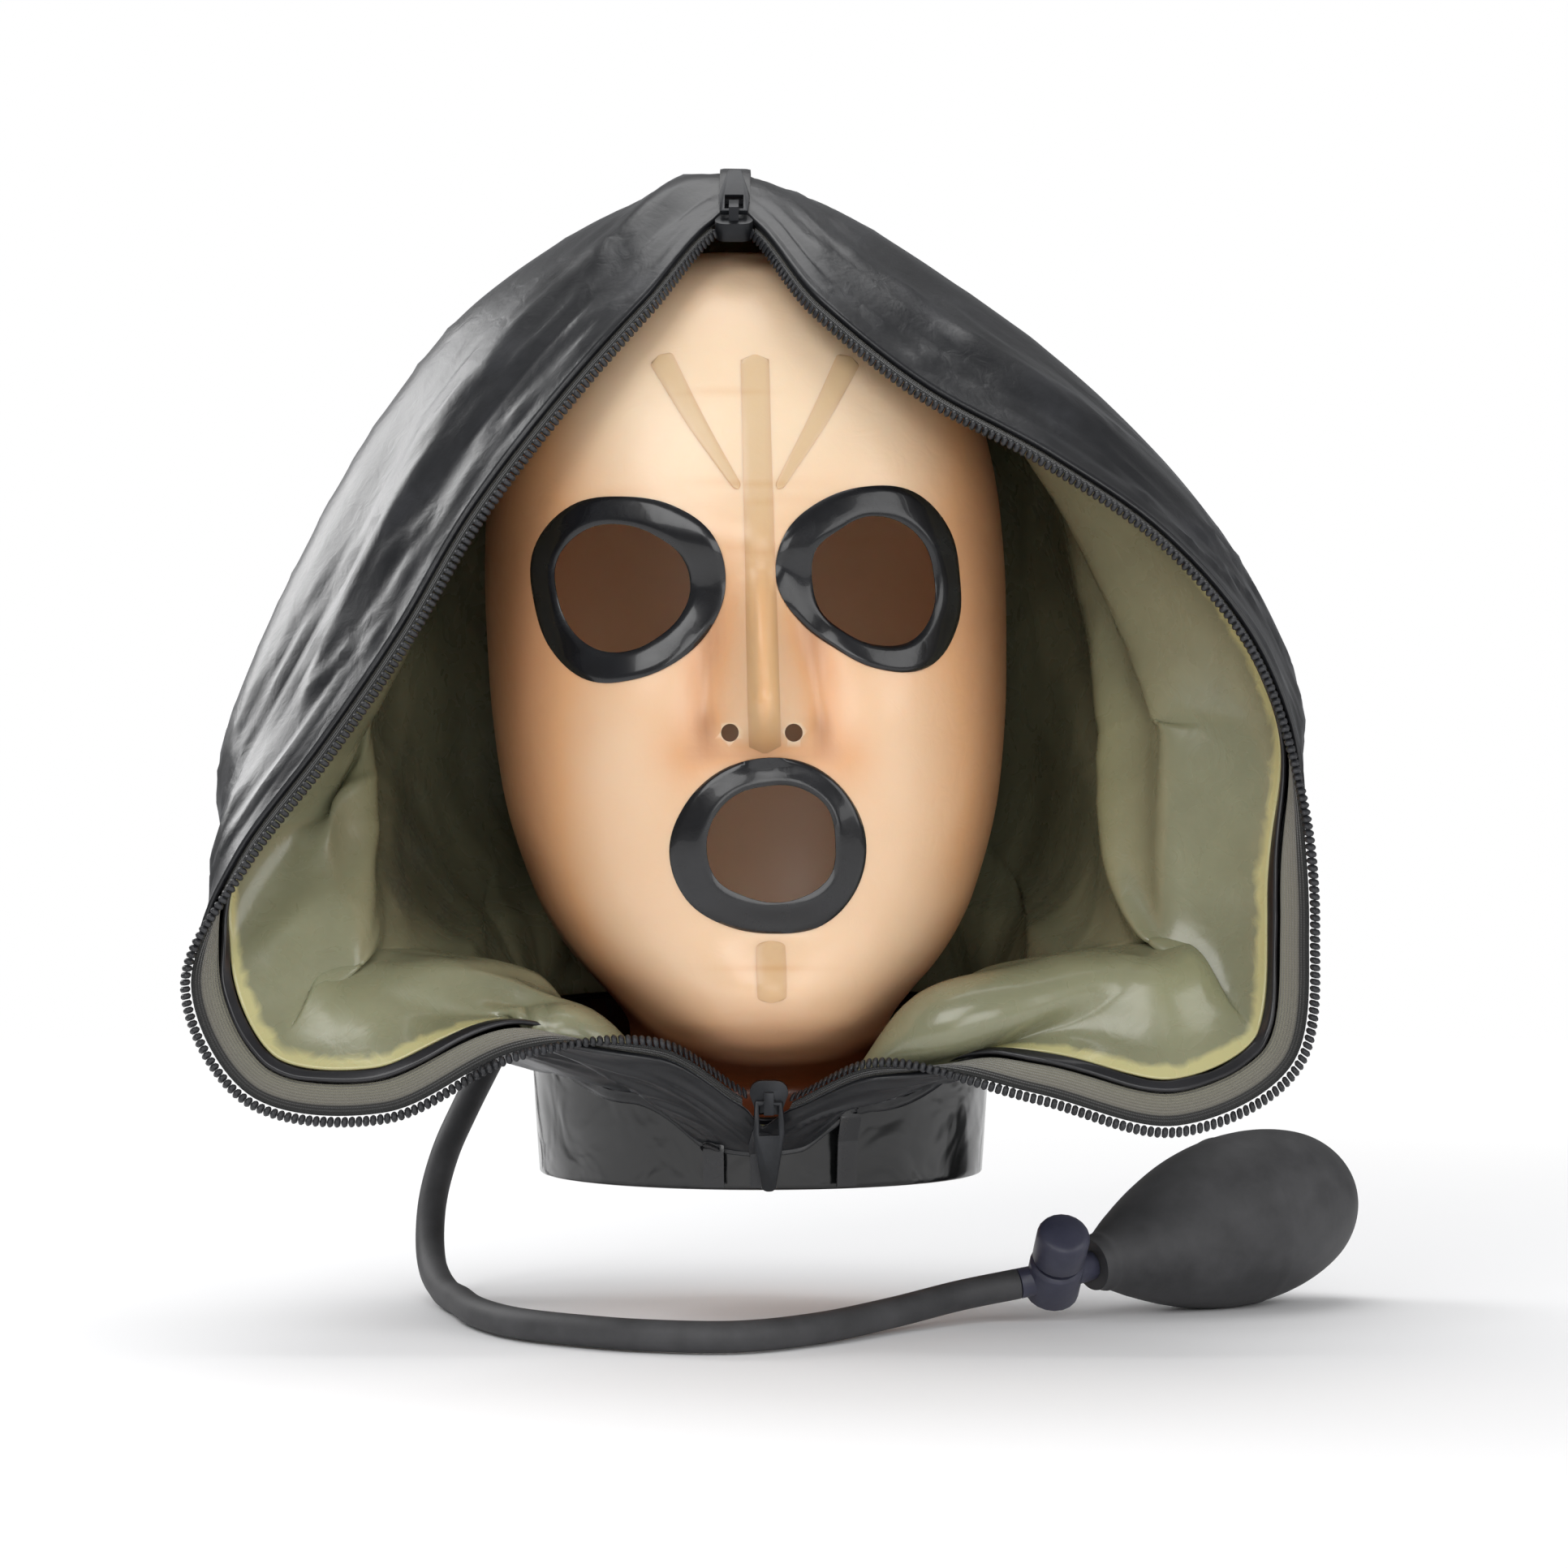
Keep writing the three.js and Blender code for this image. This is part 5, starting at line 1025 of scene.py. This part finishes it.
def maskSeam(name, line, width):
    # an overlap strip along a line on the face, with rounded ends
    s = seamShape
    t = np.linspace(0, 1, s["count"])
    path = curveAt([(x, z, 0) for x, z in line], False, t)[:, :2]
    direction = unit(np.gradient(path, axis=0))
    side = np.stack([-direction[:, 1], direction[:, 0]], -1)
    run = runAlong(path)
    half = np.interp(t, np.linspace(0, 1, len(width)), width) / 2
    rows = []
    for k in range(s["count"]):
        near = min(run[k], run[-1] - run[k])
        reach = side[k] * half[k] * math.sqrt(max(0.04, 1 - max(0, 1 - near / s["endRadius"]) ** 2))
        top = [onMask(*(path[k] + reach * f), s["lift"] + s["dome"] * (1 - abs(f) ** 6))
               for f in np.linspace(-1, 1, s["across"])]
        low = [onMask(*(path[k] + reach * f), s["under"]) for f in (1.0, 0.4, -0.4, -1.0)]
        rows.append(top + low)
    grid = np.asarray(rows)
    # painted shade that follows the mask's, plus the strips' own darker tone
    shade = np.clip(maskShade(grid) + maskShadeAndTone["seam"], 0, 1)
    obj = closedRibbon(name, grid, False, {"shade": shade})
    smoothBelow(obj, 60)
    finishPiece(obj, finishes["seam"], "hood", "amber_latex", "mask_" + name)


faceMask()
for entry in rings:
    faceRing(*entry)
maskSeam("seam_centre", [(faceAxisX(d), -d) for d in (35.5, 60, 90, 120, 148.6)], [8, 8, 8.3, 8.6, 8.8])
maskSeam("seam_chin", [(faceAxisX(d), -d) for d in (201.6, 209, 218.4)], [8, 8.4, 8])
for side, name in ((-1, "left"), (1, "right")):
    top, foot = (faceAxisX(35.5) + side * 27.1, -35.5), (faceAxisX(74.5) + side * 5.5, -74.5)
    middle = ((top[0] + foot[0]) / 2 + side * 0.8, (top[1] + foot[1]) / 2)
    maskSeam("seam_brow_" + name, [top, middle, foot], [7.2, 5.2, 2.4])
print("mask ready")

# collar and its trim

collarShape = {"columns": 256, "rows": 26, "frontRise": 5, "ripple": 0.35, "hem": 0.6, "hemSide": 0.45}
trimShape = {"points": 9, "edge": 0.55, "stations": 40, "lift": 0.3, "belowEnd": 0.5, "intoWall": 5}


def collarPiece():
    s = collarShape
    shares = np.arange(s["columns"]) / s["columns"]
    half, bottom = collarSizes["wall"] / 2, collarSizes["bottom"]
    top = seamDrop(shares) - hood["overlap"] - s["frontRise"] * ((1 - np.cos(shares * 2 * np.pi)) / 2) ** 6
    down = np.linspace(0, 1, s["rows"])
    hemDrops = bottom + np.array([s["hemSide"], s["hem"], s["hemSide"]])
    hemOut = np.array([1, 0, -1]) * s["hemSide"]
    rows = []
    for k, share in enumerate(shares):
        drops = top[k] + (bottom - top[k]) * down
        ripple = fieldNoise(share * 26, drops / 16, 0, 0) * s["ripple"] * np.sin(np.pi * down)
        outside = collarPoint(np.full(len(down), share), drops, half + ripple)
        hem = collarPoint(np.full(3, share), hemDrops, hemOut)
        inside = collarPoint(np.full(len(down), share), drops, -half)[::-1]
        rows.append(np.concatenate([outside, hem, inside]))
    obj = closedRibbon("collar_tube", np.asarray(rows), True)
    finishPiece(obj, finishes["collar"], "hood", "gloss_latex", "collar")


def wallRibbon(name, share, stations, width, low, high, finish, slot, node):
    # a strip running away from the zip over the wall, and on down the collar
    s = trimShape
    one = np.full(len(stations), share)
    length = wallLength(one)
    rise = blendAlong(one, stations / length) * foldHeight(outerFolds, one, stations / length)
    lift = np.where(stations <= length, rise, 0)
    centre = wallPoint(one, stations, (low + high) / 2 + lift)
    up = unit(wallPoint(one, stations, high + lift + 1) - wallPoint(one, stations, low + lift))
    side = unit(np.cross(up, np.gradient(centre, axis=0)))
    f = np.linspace(-1, 1, s["points"])
    dome = ((high - low) / 2 * (1 - s["edge"] * np.abs(f) ** 8))[:, None]
    rows = []
    for k in range(len(stations)):
        sideways = side[k] * (f * width / 2)[:, None]
        above = centre[k] + sideways + up[k] * dome
        below = centre[k] + sideways[::-1] - up[k] * ((high - low) / 2)
        rows.append(np.concatenate([above, below]))
    obj = closedRibbon(name, np.asarray(rows))
    smoothBelow(obj, 50)
    finishPiece(obj, finish, "hood", slot, node)


def lengthAt(share):
    return float(wallLength(np.array(share)))


def trimStations(share, start):
    # places of a trim from its start to just above the collar's lower edge
    end = lengthAt(share) + collarSizes["bottom"] - float(seamDrop(np.array(share))) - trimShape["belowEnd"]
    return np.linspace(start, end, trimShape["stations"])


face = hood["sheetHalf"] + hood["outerWall"] + trimShape["lift"]
collarPiece()
wallRibbon("crown_strip", 0.0, np.linspace(9.8, 62, 60), 9, face + 0.4, face + 1.3, finishes["outer"],
           "black_latex", "crown_seam_strip")
for side, share in (("left", 0.47), ("right", 0.558)):
    stations = trimStations(share, lengthAt(share) - trimShape["intoWall"])
    wallRibbon("placket_" + side, share, stations, 6, face + 0.5, face + 1.3, finishes["trim"],
               "gloss_latex", "collar_placket_" + side)
stations = trimStations(0.5, float(outerStart(np.array(0.5))) + 1)
wallRibbon("collar_zip_front", 0.5, stations, 5.4, face, face + 0.8, finishes["teeth"],
           "zip_plastic", "collar_zip")
print("collar ready")

# sliders, pulls and the air line


def bevelledCopy(node, name, width, finish, body, slot, segments=2):
    # a copy of a solid with its loose triangles merged and its edges rounded
    source = bpy.data.objects[node]
    obj = source.copy()
    obj.data = source.data.copy()
    obj.name = obj.data.name = name
    obj.parent = None
    bpy.context.scene.collection.objects.link(obj)
    editAll(obj)
    bpy.ops.mesh.remove_doubles(threshold=0.000005)
    bpy.ops.mesh.dissolve_limited(angle_limit=math.radians(4))
    objectMode()
    applied(obj, "BEVEL", width=width * mm, segments=segments, limit_method="ANGLE",
            angle_limit=math.radians(38), use_clamp_overlap=True)
    smoothBelow(obj, 35)
    finishPiece(obj, finish, body, slot, node)


for end in ("upper", "lower"):
    bevelledCopy(end + "_slider", end + "_slider_cast", 0.6, finishes["metal"], "hood", "black_metal", 3)
for end in ("upper", "lower"):
    bevelledCopy(end + "_pull", end + "_pull_cast", 0.35, finishes["metal"], end + "_pull", "black_metal", 3)
bevelledCopy("valve_body", "valve_moulding", 0.35, finishes["plastic"], "hood", "valve_plastic")
bevelledCopy("valve_button", "valve_cap", 0.35, finishes["plastic"], "valve_button", "valve_plastic")
bevelledCopy("inlet_flange", "inlet_moulding", 0.5, finishes["rubber"], "hood", "rubber")
bevelledCopy("bulb_end_cap", "bulb_valve_cap", 0.4, finishes["rubber"], "hood", "rubber")
print("sliders and fittings ready")

hose = {
    "radius": 4.5, "sides": 20, "steps": 260, "valveCentre": 14.5, "valveReach": 11.5,
    "seat": (-56.414, 89.013, -195.170), "out": (-0.3337, 0.5975, -0.7291), "nozzle": 15.3,
    "route": [(-71, 102, -228), (-80, 95, -246), (-87.2, 85.5, -261), (-92.6, 77, -273.9),
              (-95.9, 71, -287), (-96.5, 64, -298), (-94.9, 53, -307), (-89.5, 32, -312.4),
              (-82.5, 5, -312.6), (-75.9, -21, -312.6), (-62.4, -48, -312.6), (-43.3, -65, -312.6),
              (-23.4, -76, -312.6), (0.8, -79, -312.6), (22.5, -62, -312.6), (45.9, -32, -311.6),
              (67, -12, -308.8)],
}
bulb = {
    "neck": (106.5, 3, -301.5), "axis": (0.8, 0.577, 0.173), "length": 100, "radius": 26,
    "radii": [0.3, 0.34, 0.52, 0.74, 0.92, 1.0, 0.96, 0.8, 0.54, 0.28],
    "along": [0.0, 0.05, 0.14, 0.27, 0.42, 0.58, 0.74, 0.88, 0.97, 1.0],
    "mouldLine": 0.575, "mouldRise": 0.32, "neckLine": 0.035, "neckRise": 0.5,
}


def hoseTube():
    seat, out = np.array(hose["seat"]), unit(hose["out"])
    begin = seat + out * hose["nozzle"]
    middle = np.array(bulb["neck"], float) - unit(bulb["axis"]) * hose["valveCentre"]
    towards = unit(middle - np.array(hose["route"][-1], float))
    line = [begin, begin + out * 2 * hose["radius"], *hose["route"], middle - towards * hose["valveReach"]]
    points = curveAt(line, False, np.linspace(0, 1, 1200))
    run = runAlong(points)
    places = np.linspace(0, run[-1], hose["steps"] + 1)
    even = np.stack([np.interp(places, run, points[:, axis]) for axis in range(3)], -1)
    tangent = unit(np.gradient(even, axis=0))
    side = np.zeros_like(even)
    side[0] = unit(np.cross(tangent[0], (0.3, 0.2, 1)))
    for k in range(1, len(even)):
        side[k] = unit(side[k - 1] - tangent[k] * np.dot(side[k - 1], tangent[k]))
    up = np.cross(tangent, side)
    turn = np.arange(hose["sides"]) / hose["sides"] * 2 * np.pi
    ring = side[:, None] * np.cos(turn)[None, :, None] + up[:, None] * np.sin(turn)[None, :, None]
    uv = np.stack(np.broadcast_arrays(places[:, None] / 10, turn[None, :]), -1)
    obj = closedSheet("air_hose", even[:, None] + hose["radius"] * ring, uv, False)
    smoothBelow(obj, 50)
    finishPiece(obj, finishes["rubber"], "hood", "rubber", "hose")
    print("hose length", round(run[-1], 1), "mm")


def turned(obj, place, axis):
    # stands a piece made along +Z on its place, pointing along the axis, inside its mesh
    quaternion = Vector((0, 0, 1)).rotation_difference(Vector(unit(axis)))
    obj.data.transform(quaternion.to_matrix().to_4x4())
    obj.data.transform(Matrix.Translation(Vector(place) * mm))


def spunPiece(name, profile, steps):
    # a profile of radius and height, spun round Z
    edges = [(i, i + 1) for i in range(len(profile) - 1)]
    obj = newPiece(name, [(r * mm, 0, h * mm) for r, h in profile], edges, [])
    editAll(obj)
    bpy.ops.mesh.spin(steps=steps, angle=2 * math.pi, center=(0, 0, 0), axis=(0, 0, 1))
    bpy.ops.mesh.select_all(action='SELECT')
    bpy.ops.mesh.remove_doubles(threshold=0.00001)
    bpy.ops.mesh.normals_make_consistent(inside=False)
    objectMode()
    return obj


def pumpBulb():
    # the mould line rings the bulb at its widest, and a rolled edge rings its neck
    place = np.linspace(0, len(bulb["radii"]) - 1, 90)
    radii = smoothRow(bulb["radii"], place, False) * bulb["radius"]
    heights = smoothRow(bulb["along"], place, False)
    ridge = bulb["mouldRise"] * bell(heights, bulb["mouldLine"], 0.006)
    rolled = bulb["neckRise"] * bell(heights, bulb["neckLine"], 0.012)
    profile = [(0, 0)] + list(zip(radii + ridge + rolled, heights * bulb["length"])) + [(0, bulb["length"])]
    obj = spunPiece("squeeze_bulb", profile, 96)
    turned(obj, bulb["neck"], bulb["axis"])
    smoothBelow(obj, 50)
    finishPiece(obj, finishes["rubber"], "hood", "rubber", "pump_bulb")


hoseTube()
pumpBulb()
print("air line ready")

# floor and light

stage = {"floor": -317.5, "radius": 1500, "rings": 12, "sides": 96, "clear": 0.42, "fade": 0.5}


def makeStage():
    # a round paper floor that fades to the white of the background all round
    turn = np.arange(stage["sides"]) / stage["sides"] * 2 * np.pi
    radii = np.linspace(0, 1, stage["rings"])[:, None] * stage["radius"]
    grid = np.stack(np.broadcast_arrays(radii * np.cos(turn), radii * np.sin(turn), stage["floor"]), -1)
    obj = sheetMesh("paper_floor", grid.swapaxes(0, 1), np.zeros((stage["sides"], stage["rings"], 2)))
    mergedOutwards(obj, 0.0001)
    if obj.data.polygons[0].normal.z < 0:
        obj.data.flip_normals()
    material, tree, where = newMaterial("paperFloor")
    far = addNode(tree, "VectorMath", {"operation": "LENGTH", 0: where["Object"]})
    fade = addNode(tree, "MapRange", {
        "interpolation_type": "SMOOTHSTEP", "From Min": stage["clear"],
        "From Max": stage["clear"] + stage["fade"], "Value": far.outputs["Value"]})
    grain = addNode(tree, "TexNoise", {"Scale": 350.0, "Detail": 2.0, "Vector": where["Object"]})
    tone = addNode(tree, "Mix", {"data_type": "RGBA", 6: "#f2f2f3", 7: "#000000", 0: fade})
    relief = addNode(tree, "Bump", {"Strength": 0.05, "Distance": 0.0002, "Height": grain})
    obj.data.materials.append(shaded(material, {
        "Roughness": 0.92, "Emission Color": (1, 1, 1, 1), "Base Color": tone, "Emission Strength": fade,
        "Normal": relief}))


lamps = [  # name, place, aim, size, watts
    ("key", (-0.55, -1.25, 0.75), (0.0, 0.0, -0.14), 0.8, 8.0),
    ("front", (0.25, -1.55, 0.1), (0.02, 0.0, -0.17), 0.7, 5.0),
    ("side", (1.15, -0.7, 0.3), (0.0, 0.0, -0.16), 0.8, 4.5),
    ("top", (0.0, 0.25, 1.1), (0.0, 0.0, -0.1), 1.0, 7.5),
    ("back", (-0.85, 0.6, 0.4), (0.0, 0.0, -0.1), 0.6, 6.0),
]


def makeLight():
    # the white background shows in full to the camera, and is dimmed for the light and the reflections
    world = bpy.data.worlds.new("studio")
    world.use_nodes = True
    tree = world.node_tree
    tree.nodes.clear()
    path = addNode(tree, "LightPath", {})
    shine = addNode(tree, "MapRange", {"To Min": 0.5, "To Max": 0.2, "Value": path.outputs["Is Glossy Ray"]})
    seen = addNode(tree, "Math", {"operation": "MAXIMUM", 0: shine, 1: path.outputs["Is Camera Ray"]})
    sky = addNode(tree, "Background", {"Color": "#ffffff", "Strength": seen})
    addNode(tree, "OutputWorld", {"Surface": sky})
    bpy.context.scene.world = world
    for name, place, aim, size, watts in lamps:
        data = bpy.data.lights.new(name, "AREA")
        data.shape, data.size, data.energy = "SQUARE", size, watts
        obj = bpy.data.objects.new(name, data)
        obj.location = place
        obj.rotation_euler = (Vector(aim) - Vector(place)).to_track_quat('-Z', 'Y').to_euler()
        bpy.context.scene.collection.objects.link(obj)
    bpy.context.scene.view_settings.view_transform = "Standard"


makeStage()
makeLight()
bpy.ops.object.select_all(action='DESELECT')
print("stage ready")
